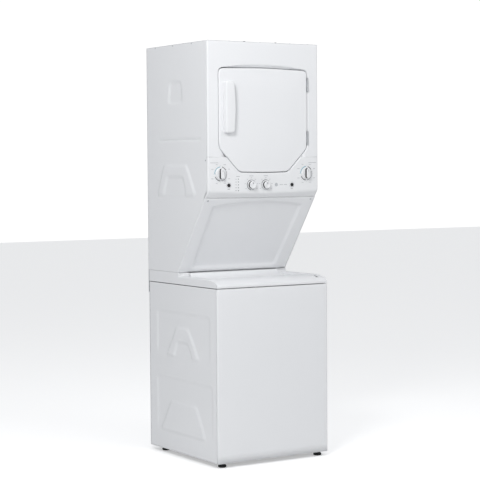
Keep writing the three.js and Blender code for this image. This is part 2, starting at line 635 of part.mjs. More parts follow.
function addDoor() {
  const end = FACE + DOOR_DEEP;
  const pan = cut(
    alongY(doorOutline(0), FACE, end),
    alongY(doorOutline(-SHEET), FACE + SHEET, end + 1),
    ...hingeNotches(237, 243),
  );
  addPart('door_outer_panel', pan, 'enamel');

  const liner = end - 4;
  const bulge = (inset) => rounded(BULGE, -inset, BULGE.r, BULGE.r);
  let inner = alongY(doorOutline(-SHEET - GAP), liner, liner + MOULD);
  inner = join(inner, alongY(bulge(0), liner, BULGE.back));
  inner = cut(inner, alongY(bulge(MOULD), liner - 1, BULGE.back - MOULD));
  addPart('door_inner_panel', inner, 'whitePlastic');

  const frame = (grow) => rounded(SEAL, grow, SEAL.lowR, SEAL.highR);
  const seal = alongY(withHole(frame(SEAL.wide), frame(0)), liner + MOULD + GAP, BULKHEAD - 1);
  addPart('door_seal', seal, 'rubber');

  const { left, right, bow, low, high, front, wall } = HANDLE;
  const grip = outline([
    [left, low, 9], [right, low, 14], [bow, (low + high) / 2, 400], [right, high, 14], [left, high, 9],
  ]);
  const fingers = block(left + wall, -100, front + wall / 2, FACE + 1, low + wall, high - wall);
  const handle = cut(alongY(grip, front, FACE - GAP), fingers);
  addPart('door_handle', handle, 'whitePlastic');
}

function addHinges() {
  const { x, y, knuckle, pin, tall, mid, heights } = HINGE;
  const leaf = [FACE + 1.8, FACE + 3.4];
  const names = ['upper', 'lower'];
  heights.forEach((z, i) => {
    const [low, high] = [z - tall / 2, z + tall / 2];
    const [midLow, midHigh] = [z - mid / 2 - GAP, z + mid / 2 + GAP];
    const fixed = join(
      rod('z', knuckle, [x, y], low, midLow),
      rod('z', knuckle, [x, y], midHigh, high),
      rod('z', pin, [x, y], low + 1, high - 1),
      block(x + 1, x + 8, ...leaf, low, midLow),
      block(x + 1, x + 8, ...leaf, midHigh, high),
      block(x + 6, x + 34, ...leaf, low, high),
    );
    addPart(`door_hinge_${names[i]}_frame_leaf`, fixed, 'steel');

    const barrel = join(
      rod('z', knuckle, [x, y], z - mid / 2, z + mid / 2),
      block(x - 8, x - 1, ...leaf, z - mid / 2, z + mid / 2),
      block(x - 38, x - 6, ...leaf, low, high),
    );
    const moving = cut(barrel, rod('z', pin + 0.5, [x, y], low, high));
    addPart(`door_hinge_${names[i]}_door_leaf`, moving, 'steel');
  });
}

// ---- dryer works

function addBulkheads() {
  const side = INSIDE - GAP;
  const top = HEIGHT - 3;
  const mouth = rounded(MOUTH, 0, MOUTH.r, MOUTH.r);
  let front = block(-side, side, BULKHEAD, BULKHEAD + SHEET, 1290, top);
  const collar = turned('y', [[256.5, BULKHEAD], [258, BULKHEAD], [258, 140], [256.5, 140]]);
  front = join(front, collar.translate(0, 0, DRUM.z));
  const pocket = FILTER.half + 3;
  const sill = FILTER.low - MOULD;
  front = join(front, block(-pocket - 2, pocket + 2, BULKHEAD, FILTER.back + 4, sill - 2, MOUTH.low - 7));
  front = cut(front, alongY(mouth, 90, BULKHEAD + 2));
  front = cut(front, block(-pocket, pocket, BULKHEAD + SHEET, FILTER.back + 2, sill, 1500));
  addPart('front_bulkhead', front, 'galvanised');

  const { half, low, high, rim } = FILTER;
  const frame = cut(
    block(-half, half, FILTER.front, FILTER.back, low, high),
    block(rim - half, half - rim, FILTER.front + MOULD, FILTER.back + 1, low + rim, high - 10),
    block(-60, 60, FILTER.front - 1, FILTER.front + 4, high - rim, high + rim),
  );
  const tab = block(-50, 50, FILTER.front + MOULD, FILTER.back, high - 1, high + 8);
  addPart('lint_filter', join(frame, tab), 'greyPlastic');

  let rear = block(-side, side, REAR_BULKHEAD, REAR_BULKHEAD + SHEET, 1270, top);
  const bearing = turned('y', [[10, 601], [26, 601], [26, 612], [10, 612]], MEDIUM).translate(0, 0, DRUM.z);
  rear = cut(join(rear, bearing), rod('y', DRUM.shaft + 0.8, [0, DRUM.z], 590, 620, MEDIUM));
  addPart('rear_bulkhead', rear, 'galvanised');

  const heater = (inset) => rounded(HEATER, -inset, HEATER.r, HEATER.r);
  const seat = REAR_BULKHEAD + SHEET + GAP;
  const box = cut(alongY(heater(0), seat, HEATER.back), alongY(heater(MOULD), seat - 1, HEATER.back - MOULD));
  addPart('heater_housing', box, 'galvanised');
}

function addDrum() {
  const { r, front, back, lip, shaft } = DRUM;
  const wall = 1.5;
  let drum = turned('y', [
    [0, back - 2], [r - wall, back - 2], [r - wall, front + wall], [lip, front + wall], [lip, front],
    [r, front], [r, back], [24, back], [24, back + 6], [shaft, back + 6], [shaft, 614], [0, 614],
  ]);
  // Three hollow baffles, each open at its front end.
  const ridge = (inset) => {
    const [foot, crest] = [BAFFLE.foot - inset, BAFFLE.crest - inset / 2];
    const [root, tip] = [r - 0.6 - inset, r - BAFFLE.tall + inset];
    return outline([[-foot, root], [-crest, tip], [crest, tip], [foot, root]]);
  };
  const bore = rod('y', r - 0.5, [0, 0], front, back, FINE);
  const hollow = alongY(ridge(MOULD), BAFFLE.front - 1, BAFFLE.back - MOULD);
  const baffle = cut(keep(alongY(ridge(0), BAFFLE.front, BAFFLE.back), bore), hollow);
  for (let i = 0; i < 3; i += 1) {
    const turn = (2 * Math.PI * i) / 3 + Math.PI;
    drum = join(drum, baffle.clone().rotateY(turn));
  }
  addPart('drum', drum, 'steel').position.z = DRUM.z;
}

function addDryerDrive() {
  const { x, z, r, shaft, pulley, belt } = FAN;
  const slack = 2.4;
  const centres = [[0, DRUM.z], [x, z]];
  const run = (extra) => loop(centres[0], DRUM.r + slack + extra, centres[1], pulley + 0.8 + extra, 24);
  addPart('drum_belt', alongY(withHole(run(2.5), run(0)), belt - 4, belt + 4), 'rubber');

  // The idler presses on the belt's left run from outside, a little above the motor.
  const distance = Math.hypot(x, DRUM.z - z);
  const heading = Math.atan2(DRUM.z - z, -x);
  const lean = Math.asin((DRUM.r + slack - pulley - 0.8) / distance);
  const normal = heading + Math.PI / 2 + lean;
  const offset = pulley + 0.8 + 2.5 + GAP + IDLER_R;
  const along = 110;
  const idler = [
    x + offset * Math.cos(normal) + along * Math.cos(normal - Math.PI / 2),
    z + offset * Math.sin(normal) + along * Math.sin(normal - Math.PI / 2),
  ];
  const wheel = turned('y', [[6, -7], [IDLER_R, -7], [IDLER_R, 7], [6, 7]], 16);
  addPart('idler_pulley', wheel, 'blackPlastic').position.set(idler[0], belt, idler[1]);

  const arm = alongY(loop([x, z], 34, idler, 14), 352, 356);
  const motor = cut(
    join(
      rod('y', 62, [x, z], 355, 458, MEDIUM),
      arm,
      rod('y', 5, idler, 332, 353),
      block(x - 55, x + 55, 365, 450, FLOOR_TOP + GAP, 910),
    ),
    rod('y', shaft + 1, [x, z], 300, 500),
  );
  addPart('dryer_motor', motor, 'castMetal');

  const spindle = [
    [0, belt - 8], [pulley + 4, belt - 8], [pulley + 4, belt - 6], [pulley, belt - 5], [pulley, belt + 5],
    [pulley + 4, belt + 6], [pulley + 4, belt + 8], [shaft, belt + 8], [shaft, 518], [22, 518],
    [r, 522], [r, 526], [0, 526],
  ];
  let rotor = turned('y', spindle, MEDIUM);
  const blade = block(r - 22, r - 1, 486, 523, -1, 1);
  for (let i = 0; i < 12; i += 1) {
    rotor = join(rotor, blade.clone().rotateY((i * Math.PI) / 6));
  }
  rotor = join(rotor, turned('y', [[r - 20, 484], [r, 484], [r, 488], [r - 20, 488]], MEDIUM));
  addPart('blower_wheel', rotor, 'steel').position.set(x, 0, z);

  const { front: near, back: far } = HOUSING;
  const left = EXHAUST.x - EXHAUST.r - 5;
  const [low, high] = [EXHAUST.z - EXHAUST.r - 3, EXHAUST.z + EXHAUST.r + 3];
  const scroll = join(rod('y', r + 12, [x, z], near, far, MEDIUM), block(left, x, near, far, low, high));
  const hollow = join(
    rod('y', r + 10, [x, z], near + 2, far - 2, MEDIUM),
    block(left + 2, x, near + 2, far - 2, low + 2, high - 2),
  );
  const housing = cut(
    scroll,
    hollow,
    rod('y', 48, [x, z], near - 5, near + 5, MEDIUM),
    rod('y', EXHAUST.r - 3, [EXHAUST.x, EXHAUST.z], far - 5, far + 5, MEDIUM),
  );
  addPart('blower_housing', housing, 'galvanised');

  const pipe = turned('y', [
    [EXHAUST.r - MOULD, far + GAP], [EXHAUST.r, far + GAP], [EXHAUST.r, DEPTH], [EXHAUST.r - MOULD, DEPTH],
  ], MEDIUM);
  addPart('exhaust_duct', pipe, 'galvanised').position.set(EXHAUST.x, 0, EXHAUST.z);
}

addFeet();
addBaseFrame();
addWasherPanels();
addCover();
addLid();
addTub();
addBasket();
addWasherDrive();
addDryerPanels();
addServicePanel();
addFronts();
addControls();
addDoor();
addHinges();
addBulkheads();
addDrum();
addDryerDrive();

export default machine;
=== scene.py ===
"""The looks of a stacked washer and dryer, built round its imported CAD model.

Sizes and places below are millimetres in the CAD drawing's axes: x from the middle, z from the floor
and y from the washer's front face. place() turns them into the frame's metres.
"""
import json
import math

import bmesh
import bpy
import numpy as np
from mathutils import Matrix, Vector

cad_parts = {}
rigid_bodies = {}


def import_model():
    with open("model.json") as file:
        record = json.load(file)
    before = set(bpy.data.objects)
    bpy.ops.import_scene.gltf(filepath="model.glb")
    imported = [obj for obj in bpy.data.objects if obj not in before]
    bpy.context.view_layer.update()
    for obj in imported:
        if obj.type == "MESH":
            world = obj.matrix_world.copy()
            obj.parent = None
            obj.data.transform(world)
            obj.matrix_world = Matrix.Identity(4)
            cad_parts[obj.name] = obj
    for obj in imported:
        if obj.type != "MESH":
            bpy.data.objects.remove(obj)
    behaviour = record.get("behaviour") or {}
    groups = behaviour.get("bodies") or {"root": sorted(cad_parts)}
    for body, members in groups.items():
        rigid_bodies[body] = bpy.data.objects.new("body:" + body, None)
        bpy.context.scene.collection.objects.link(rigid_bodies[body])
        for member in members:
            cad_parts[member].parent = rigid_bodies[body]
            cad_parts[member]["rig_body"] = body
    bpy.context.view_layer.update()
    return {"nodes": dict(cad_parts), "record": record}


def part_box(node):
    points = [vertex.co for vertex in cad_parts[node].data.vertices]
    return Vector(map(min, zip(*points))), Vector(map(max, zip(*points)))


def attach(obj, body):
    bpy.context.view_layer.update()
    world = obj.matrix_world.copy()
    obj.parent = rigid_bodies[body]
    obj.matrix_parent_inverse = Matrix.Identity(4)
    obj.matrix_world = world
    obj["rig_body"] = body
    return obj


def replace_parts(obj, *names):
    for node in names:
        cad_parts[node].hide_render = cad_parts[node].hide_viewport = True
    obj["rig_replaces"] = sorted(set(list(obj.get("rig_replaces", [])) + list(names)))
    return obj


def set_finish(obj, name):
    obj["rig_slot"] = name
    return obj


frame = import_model()

MM = 0.001
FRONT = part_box("washer_front_panel")[0].y


def place(x, y, z):
    """A point of the drawing, in the frame."""
    return Vector((x * MM, y * MM + FRONT, z * MM))


def span(node):
    """A CAD node's lowest and highest corners, in the drawing's millimetres."""
    low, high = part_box(node)
    shift = Vector((0, FRONT, 0))
    return (low - shift) / MM, (high - shift) / MM


def middle(node):
    """The middle of a CAD node, in the drawing's millimetres."""
    return tuple((a + b) / 2 for a, b in zip(*span(node)))


def heights(node):
    """A CAD node's lowest and highest z."""
    low, high = span(node)
    return low.z, high.z


# ---------------------------------------------------------------- driving dimensions

HALF = span("washer_front_panel")[1].x
FACE = span("dryer_front_panel")[0].y
TOP = span("dryer_front_panel")[1].z
SEAM = span("dryer_front_panel")[0].z
BULKHEAD = span("front_bulkhead")[0].y
SHEET = 1.2
SIDE_RETURN = 12
CORNER = 8  # outside radius of the cabinet's folded front corners
ROLL = 4  # radius of the edge rolled into the door's opening

DOOR = {
    "half": 240.5, "top": 1803, "corner": 1797, "shoulder": 1441, "chin": 132, "chin_z": 1331, "low": 1328,
}
DOOR_GAP = 3
HINGES = [heights(f"door_hinge_{name}_frame_leaf") for name in ("upper", "lower")]
CREASE_Y = 100
CREASE_Z = span("control_panel")[0].z
PANEL_LOW = 1243
SLOPE_FOOT = Vector((0, 361, 855))
SLOPE_HEAD = Vector((0, CREASE_Y, CREASE_Z))
BOW = 10  # how far the control panel's lower edge sags at its middle
BIG_KNOBS = ("washer_cycle_knob", "dryer_cycle_knob")
SMALL_KNOBS = ("water_temperature_knob", "load_size_knob")
BUTTONS = ("washer_start_button", "dryer_start_button")
LAMP_HEIGHTS = [1298 - 13 * i for i in range(5)]

# ---------------------------------------------------------------- materials


def finish(name, colour, roughness, metallic=0.0, coat=0.0, grain=600.0, bump=0.02, mottle=0.03,
           stretch=(1, 1, 1), spangle=0.0, spread=0.06, sheen=0.0):
    """A surface with a slow drift of tone and gloss, and a fine relief at its own scale."""
    material = bpy.data.materials.new(name)
    material.use_nodes = True
    nodes, links = material.node_tree.nodes, material.node_tree.links
    shader = nodes["Principled BSDF"]
    shader.inputs["Metallic"].default_value = metallic
    shader.inputs["Coat Weight"].default_value = coat
    shader.inputs["Coat Roughness"].default_value = 0.12
    shader.inputs["Sheen Weight"].default_value = sheen

    coordinates = nodes.new("ShaderNodeTexCoord")
    drift = nodes.new("ShaderNodeTexNoise")
    drift.inputs["Scale"].default_value = 5.0
    drift.inputs["Detail"].default_value = 4.0
    links.new(coordinates.outputs["Object"], drift.inputs["Vector"])

    tone = nodes.new("ShaderNodeMix")
    tone.data_type = "RGBA"
    dark = [c * (1 - mottle) for c in colour]
    tone.inputs["A"].default_value = (*dark, 1)
    tone.inputs["B"].default_value = (*colour, 1)
    links.new(drift.outputs["Fac"], tone.inputs["Factor"])
    links.new(tone.outputs["Result"], shader.inputs["Base Color"])

    mapping = nodes.new("ShaderNodeMapping")
    mapping.inputs["Scale"].default_value = stretch
    links.new(coordinates.outputs["Object"], mapping.inputs["Vector"])
    fine = nodes.new("ShaderNodeTexNoise")
    fine.inputs["Scale"].default_value = grain
    fine.inputs["Detail"].default_value = 3.0
    links.new(mapping.outputs["Vector"], fine.inputs["Vector"])

    gloss = nodes.new("ShaderNodeMapRange")
    gloss.inputs["To Min"].default_value = max(roughness - spread, 0.02)
    gloss.inputs["To Max"].default_value = min(roughness + spread, 1.0)
    links.new(fine.outputs["Fac"], gloss.inputs["Value"])
    links.new(gloss.outputs["Result"], shader.inputs["Roughness"])

    if spangle:
        crystals = nodes.new("ShaderNodeTexVoronoi")
        crystals.inputs["Scale"].default_value = spangle
        links.new(coordinates.outputs["Object"], crystals.inputs["Vector"])
        shade = nodes.new("ShaderNodeSeparateColor")
        links.new(crystals.outputs["Color"], shade.inputs["Color"])
        links.new(shade.outputs["Red"], tone.inputs["Factor"])
        links.new(shade.outputs["Green"], gloss.inputs["Value"])

    relief = nodes.new("ShaderNodeBump")
    relief.inputs["Strength"].default_value = 1.0
    relief.inputs["Distance"].default_value = bump * MM
    links.new(fine.outputs["Fac"], relief.inputs["Height"])
    links.new(relief.outputs["Normal"], shader.inputs["Normal"])
    return material


FINISHES = {
    "enamel": finish("enamel", (0.885, 0.892, 0.905), 0.34, coat=0.25, grain=260, bump=0.018, mottle=0.012),
    "white_plastic": finish("white_plastic", (0.875, 0.882, 0.893), 0.42, grain=1600, bump=0.012,
                            mottle=0.02),
    "black_plastic": finish("black_plastic", (0.016, 0.016, 0.018), 0.42, grain=1500, bump=0.02,
                            mottle=0.3),
    "grey_plastic": finish("grey_plastic", (0.56, 0.58, 0.6), 0.5, grain=1300, bump=0.02, mottle=0.06),
    "stainless_steel": finish("stainless_steel", (0.6, 0.61, 0.62), 0.26, metallic=1.0, grain=240, bump=0.006,
                              mottle=0.08, stretch=(1, 1, 14), spread=0.1),
    "zinc_steel": finish("zinc_steel", (0.62, 0.64, 0.66), 0.42, metallic=0.85, grain=500, bump=0.008,
                         mottle=0.16, spangle=70, spread=0.1),
    "cast_aluminium": finish("cast_aluminium", (0.42, 0.43, 0.45), 0.55, metallic=0.8, grain=700, bump=0.08,
                             mottle=0.18),
    "rubber": finish("rubber", (0.022, 0.022, 0.023), 0.75, grain=900, bump=0.03, mottle=0.35),
    "felt": finish("felt", (0.4, 0.4, 0.39), 0.95, grain=2200, bump=0.12, mottle=0.25, sheen=0.4),
}
SCALE_INK = finish("scale_ink", (0.36, 0.37, 0.39), 0.5, grain=2500, bump=0.004, mottle=0.12)
DARK_INK = finish("dark_ink", (0.05, 0.055, 0.06), 0.45, grain=2500, bump=0.004, mottle=0.2)
BLUE_INK = finish("blue_ink", (0.2, 0.46, 0.56), 0.45, grain=2500, bump=0.004, mottle=0.12)
RED_INK = finish("red_ink", (0.55, 0.05, 0.04), 0.45, grain=2500, bump=0.004, mottle=0.12)
LAMP = finish("lamp_lens", (0.33, 0.36, 0.36), 0.2, coat=0.6, grain=2000, bump=0.004, mottle=0.1)
FLOOR = finish("studio_floor", (0.93, 0.93, 0.93), 0.7, grain=90, bump=0.02, mottle=0.01)
SLOTS = {part["node"]: part["material_slot"] for part in frame["record"]["subparts"]}

# ---------------------------------------------------------------- making pieces

DULL = math.radians(38)  # edges that turn less than this are shaded as one smooth surface


def dress(mesh, material):
    """Gives a mesh one material, and smooth shading with sharp edges."""
    mesh.materials.clear()
    mesh.materials.append(material)
    mesh.polygons.foreach_set("use_smooth", [True] * len(mesh.polygons))
    mesh.set_sharp_from_angle(angle=DULL)


def add(name, mesh, body, slot, material=None, replaces=()):
    """Puts a mesh in the scene as a piece that rides on a body."""
    dress(mesh, material or FINISHES[slot])
    piece = bpy.data.objects.new(name, mesh)
    bpy.context.scene.collection.objects.link(piece)
    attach(piece, body)
    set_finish(piece, slot)
    if replaces:
        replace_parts(piece, *replaces)
    return piece


def body_of(node):
    return frame["nodes"][node]["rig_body"]


def softened(node, width=0.4, steps=2, bend=None, radius=0.0, name=None):
    """A copy of a CAD node with its sharp edges eased, and its sheet bends rounded where bend() says.

    A width of 0 leaves the edges as they are.
    """
    mesh = bpy.data.meshes.new(name or f"{node}_skin")
    shape = bmesh.new()
    shape.from_mesh(frame["nodes"][node].data)
    bmesh.ops.remove_doubles(shape, verts=shape.verts, dist=1e-6)
    bmesh.ops.dissolve_limit(shape, angle_limit=math.radians(0.5), verts=shape.verts, edges=shape.edges)
    bmesh.ops.triangulate(shape, faces=[face for face in shape.faces if len(face.verts) > 4])
    weight = shape.edges.layers.float.new("bevel_weight_edge")
    widest = max(width, radius)
    for edge in shape.edges:
        if widest and edge.calc_face_angle(0.0) > DULL:
            bent = bend and all(bend(*((v.co - Vector((0, FRONT, 0))) / MM)) for v in edge.verts)
            edge[weight] = 1.0 if bent else width / widest
    shape.to_mesh(mesh)
    shape.free()
    piece = add(name or f"{node}_skin", mesh, body_of(node), SLOTS[node], replaces=(node,))
    if not widest:
        return piece
    bevel = piece.modifiers.new("Eased edges", "BEVEL")
    bevel.limit_method = "WEIGHT"
    bevel.width = widest * MM
    bevel.segments = max(steps, 5) if radius else steps
    bevel.use_clamp_overlap = False
    bevel.harden_normals = True
    return piece


def pressed(name, points, facing, body, slot, thickness=SHEET, closed=False, replaces=(), cap=False):
    """A sheet over a grid of outer points (rows x columns x 3), thickened away from the side it faces."""
    points = np.asarray(points, float)
    rows, columns = points.shape[:2]
    vertices = [place(*p) for p in points.reshape(-1, 3)]
    faces = []
    for i in range(rows - 1):
        for j in range(columns if closed else columns - 1):
            k = (j + 1) % columns
            faces.append((i * columns + j, i * columns + k, (i + 1) * columns + k, (i + 1) * columns + j))
    if cap:
        faces.append(tuple(range((rows - 1) * columns, rows * columns)))
    mesh = bpy.data.meshes.new(name)
    mesh.from_pydata(vertices, [], faces)
    total = sum((p.normal * p.area for p in mesh.polygons), Vector())
    if total.dot(Vector(facing)) < 0:
        mesh.flip_normals()
    piece = add(name, mesh, body, slot, replaces=replaces)
    wall = piece.modifiers.new("Sheet", "SOLIDIFY")
    wall.thickness = thickness * MM
    wall.offset = -1.0
    return piece


def bridge(shape, rings):
    """Adds faces between each loop of vertices and the next."""
    for lower, upper in zip(rings, rings[1:]):
        for j in range(len(lower)):
            k = (j + 1) % len(lower)
            shape.faces.new((lower[j], lower[k], upper[k], upper[j]))


def lofted(loops):
    """A closed body through a list of loops of equal length, as a bmesh. Both ends are capped."""
    shape = bmesh.new()
    rings = [[shape.verts.new(place(*p)) for p in loop] for loop in loops]
    bridge(shape, rings)
    shape.faces.new(rings[0][::-1])
    shape.faces.new(rings[-1])
    bmesh.ops.recalc_face_normals(shape, faces=shape.faces)
    return shape


def hoop(loops):
    """A closed tube through a list of loops, the last of them joined to the first, as a bmesh."""
    shape = bmesh.new()
    rings = [[shape.verts.new(place(*p)) for p in loop] for loop in loops]
    bridge(shape, rings + rings[:1])
    bmesh.ops.recalc_face_normals(shape, faces=shape.faces)
    return shape


def aimed(direction):
    """The turn that takes +z to a direction."""
    return Vector((0, 0, 1)).rotation_difference(Vector(direction)).to_matrix().to_4x4()


def baked(name, shape):
    """A bmesh as a mesh."""
    mesh = bpy.data.meshes.new(name)
    shape.to_mesh(mesh)
    shape.free()
    return mesh


def turned_loops(axis, centre, profile, steps=48, wobble=None):
    """Loops of a profile of (radius, height) points turned about an axis through a centre."""
    loops = []
    for r, h in profile:
        loop = []
        for i in range(steps):
            turn = 2 * math.pi * i / steps
            reach = r * (wobble(turn, r, h) if wobble else 1.0)
            a, b = reach * math.cos(turn), reach * math.sin(turn)
            offset = {"x": (h, a, b), "y": (a, h, b), "z": (a, b, h)}[axis]
            loop.append(tuple(c + o for c, o in zip(centre, offset)))
        loops.append(loop)
    return loops


def turned(name, axis, centre, profile, body, slot, material=None, steps=48, replaces=(), wobble=None):
    """A body turned about an axis, its profile starting and ending on or near the axis."""
    shape = lofted(turned_loops(axis, centre, profile, steps, wobble))
    return add(name, baked(name, shape), body, slot, material, replaces)


def ring(name, axis, centre, profile, body, slot, material=None, steps=64, replaces=()):
    """A closed ring: the profile goes round a section that stays off the axis."""
    shape = hoop(turned_loops(axis, centre, profile, steps))
    return add(name, baked(name, shape), body, slot, material, replaces)


def rounded_block(low, high, radius, steps=3):
    """A block with rounded edges, as a bmesh."""
    shape = bmesh.new()
    size = [(b - a) * MM for a, b in zip(low, high)]
    middle = place(*[(a + b) / 2 for a, b in zip(low, high)])
    bmesh.ops.create_cube(shape, size=1.0, matrix=Matrix.Translation(middle) @ Matrix.Diagonal((*size, 1)))
    bmesh.ops.bevel(shape, geom=list(shape.edges), offset=radius * MM, segments=steps, profile=0.5,
                    affect="EDGES", clamp_overlap=True)
    return shape


def merged(shapes):
    """Several bmeshes as one. The sources are freed."""
    whole = bmesh.new()
    for shape in shapes:
        mesh = baked("scratch", shape)
        whole.from_mesh(mesh)
        bpy.data.meshes.remove(mesh)
    return whole


def rounded(corners, closed=True, step=4.0, arc=8, like=None):
    """Points along a line through [a, b, radius] corners, each rounded by its radius.

    Lines with the same like get the same number of points, whatever their own size.
    """
    corners = [np.array(c, float) for c in corners]
    model = [np.array(c, float)[:2] for c in like or corners]
    lengths = [np.linalg.norm(b - a) for a, b in zip(model, model[1:] + model[:1])]
    marks = []
    for i, corner in enumerate(corners):
        here, radius = corner[:2], corner[2]
        if radius == 0 or (not closed and i in (0, len(corners) - 1)):
            marks.append([here])
            continue
        before = corners[i - 1][:2] - here
        after = corners[(i + 1) % len(corners)][:2] - here
        before, after = before / np.linalg.norm(before), after / np.linalg.norm(after)
        reach = radius / math.tan(math.acos(np.clip(before @ after, -1, 1)) / 2)
        start, end = here + before * reach, here + after * reach
        bend = [(1 - t) ** 2 * start + 2 * t * (1 - t) * here + t * t * end for t in np.linspace(0, 1, arc)]
        marks.append(bend)
    line = []
    for i, mark in enumerate(marks):
        line.extend(mark)
        if not closed and i == len(marks) - 1:
            break
        a, b = mark[-1], marks[(i + 1) % len(marks)][0]
        count = max(int(lengths[i] / step), 1)
        line.extend(a + (b - a) * k / count for k in range(1, count))
    return np.array(line)


def smooth(t):
    """0 below 0, 1 above 1, with an easy ramp between."""
    t = np.clip(t, 0.0, 1.0)
    return t * t * (3 - 2 * t)


def inside(corners, a, b, ramp, soft=22.0):
    """How far points lie inside a convex outline: 0 outside, 1 inside, with a ramp at its edge."""
    total = np.zeros_like(a, float)
    corners = [np.array(c, float) for c in corners]
    middle = sum(corners) / len(corners)
    for here, after in zip(corners, corners[1:] + corners[:1]):
        along = (after - here) / np.linalg.norm(after - here)
        across = np.array([-along[1], along[0]])
        if across @ (middle - here) > 0:
            across = -across
        total = total + np.exp((across[0] * (a - here[0]) + across[1] * (b - here[1])) / soft * 3.0)
    distance = soft / 3.0 * np.log(total)
    return smooth(0.5 - distance / ramp)


def quarter(steps=5):
    """Angles of a quarter turn."""
    return np.linspace(0, math.pi / 2, steps)


# ---------------------------------------------------------------- cabinet sides

RAMP = 15  # width of the slope at a pressing's edge


def washer_pressings(y, z):
    """Outward height of the washer side's pressings."""
    upper_frame = inside([(70, 430), (550, 430), (550, 676), (70, 676)], y, z, RAMP) * smooth((z - 455) / 60)
    arch = inside([(164, 470), (460, 470), (372, 607), (261, 607)], y, z, RAMP)
    window = inside([(218, 470), (393, 470), (364, 540), (262, 540)], y, z, RAMP)
    lower_frame = inside([(51, 80), (554, 80), (554, 362), (51, 362)], y, z, RAMP) * smooth((z - 100) / 60)
    foot_arch = inside([(107, 112), (518, 112), (425, 257), (194, 257)], y, z, RAMP)
    return 6.8 * arch - 6.0 * window + 7.2 * foot_arch - 4.0 * upper_frame - 4.0 * lower_frame


def dryer_pressings(y, z):
    """Outward height of the dryer side's pressings."""
    groove = -3.0 * np.exp(-((z - 1479) / 4.5) ** 2) * smooth((y - 125) / 20) * smooth((529 - y) / 20)
    shield = inside([(300, 1650), (428, 1650), (410, 1747), (312, 1747)], y, z, RAMP)
    arch = inside([(179, 1222), (532, 1222), (469, 1362), (259, 1362)], y, z, RAMP)
    window = inside([(262, 1224), (478, 1224), (438, 1310), (290, 1310)], y, z, RAMP)
    return groove - 4.6 * shield + 5.4 * arch - 5.0 * window


def lines(low, high, step):
    """Evenly spaced values from low to high, about a step apart."""
    return np.linspace(low, high, max(int(round((high - low) / step)), 1) + 1)


def add_washer_sides():
    low, high = span("washer_left_panel")
    ys = lines(low.y, high.y, 6)
    zs = lines(low.z, high.z, 6)
    y, z = np.meshgrid(ys, zs)
    height = washer_pressings(y, z)
    for side, name in ((-1, "left"), (1, "right")):
        points = np.stack([side * (HALF + height), y, z], axis=-1)
        node = f"washer_{name}_panel"
        pressed(f"{node}_skin", points, (side, 0, 0), "cabinet", "enamel", replaces=(node,))
        brackets = []
        for row in ("front", "rear"):
            x, mid_y, _ = middle(f"suspension_rod_{row}_{name}")
            near, far = sorted((side * (abs(x) - 25), side * (HALF - SHEET - 0.2)))
            brackets.append(rounded_block((near, mid_y - 25, 774), (far, mid_y + 25, 777), 0.8))
        add(f"{node}_rod_brackets", baked("brackets", merged(brackets)), "cabinet", "enamel")


def slope_y(z, behind=0.0):
    """The y of the slanted panel's face at a height."""
    run, rise = SLOPE_FOOT.y - SLOPE_HEAD.y, SLOPE_HEAD.z - SLOPE_FOOT.z
    return SLOPE_FOOT.y - (z - SLOPE_FOOT.z) * run / rise + behind * math.hypot(run, rise) / rise


def add_dryer_sides():
    low, high = span("dryer_left_panel")
    lip_foot = CREASE_Z + 4.5
    rows = np.concatenate([
        lines(low.z - SHEET, CREASE_Z, 7), lines(lip_foot, PANEL_LOW, 8), lines(PANEL_LOW + 7, high.z, 6),
    ])
    points = []
    for z in rows:
        on_slope = slope_y(z, 1.8)
        on_lip = CREASE_Y - (z - CREASE_Z) * (CREASE_Y - FACE) / (PANEL_LOW - CREASE_Z) + 5
        start = max(low.y, on_slope if z <= CREASE_Z else on_lip)
        points.append([(0, y, z) for y in np.linspace(start, high.y, 92)])
    points = np.array(points, float)
    height = dryer_pressings(points[..., 1], points[..., 2])
    for side, name in ((-1, "left"), (1, "right")):
        shaped = points.copy()
        shaped[..., 0] = side * (HALF + height)
        node = f"dryer_{name}_panel"
        pressed(f"{node}_skin", shaped, (side, 0, 0), "cabinet", "enamel", replaces=(node,))


# ---------------------------------------------------------------- dryer front


def hinge_notch(z):
    """1 beside a door hinge and 0 elsewhere."""
    return sum(smooth((z - low + 2) / 2) * smooth((high + 2 - z) / 2) for low, high in HINGES)


def door_corners(grow):
    """The corners of the door's outline, each with its radius, grown by a distance."""
    half = DOOR["half"] + grow
    shoulder = DOOR["shoulder"] - 0.41 * grow
    chin, chin_z = DOOR["chin"] + 0.42 * grow, DOOR["chin_z"] - grow
    return {
        "left_chin": (-chin, chin_z, 50), "low": (0, DOOR["low"] - grow, 2000),
        "right_chin": (chin, chin_z, 50),
        "right_shoulder": (half, shoulder, 60), "right_top": (half, DOOR["corner"] + grow, 27),
        "top": (0, DOOR["top"] + grow, 2000), "left_top": (-half, DOOR["corner"] + grow, 27),
        "left_shoulder": (-half, shoulder, 60),
    }


def door_outline(grow, step=4.0):
    return rounded(door_corners(grow).values(), step=step, like=list(door_corners(0).values()))


def seam_crossing(z, grow=DOOR_GAP):
    """The x where the door opening's right-hand diagonal crosses a height."""
    corner = door_corners(grow)
    (x0, z0, _), (x1, z1, _) = corner["right_chin"], corner["right_shoulder"]
    return x0 + (x1 - x0) * (z - z0) / (z1 - z0)


def eyebrow(x, z):
    """Depth of the scoop over the door: nothing at its upper curve, and deepest at the opening."""
    edge = DOOR["corner"] + DOOR_GAP + 1
    across = np.clip(1 - (x / 232.0) ** 2, 0, 1)
    upper = edge + 19 * across
    lower = edge + (DOOR["top"] - DOOR["corner"]) * across - 1
    return 11.0 * smooth((upper - z) / np.maximum(upper - lower, 1.0)) * smooth(across * 4)


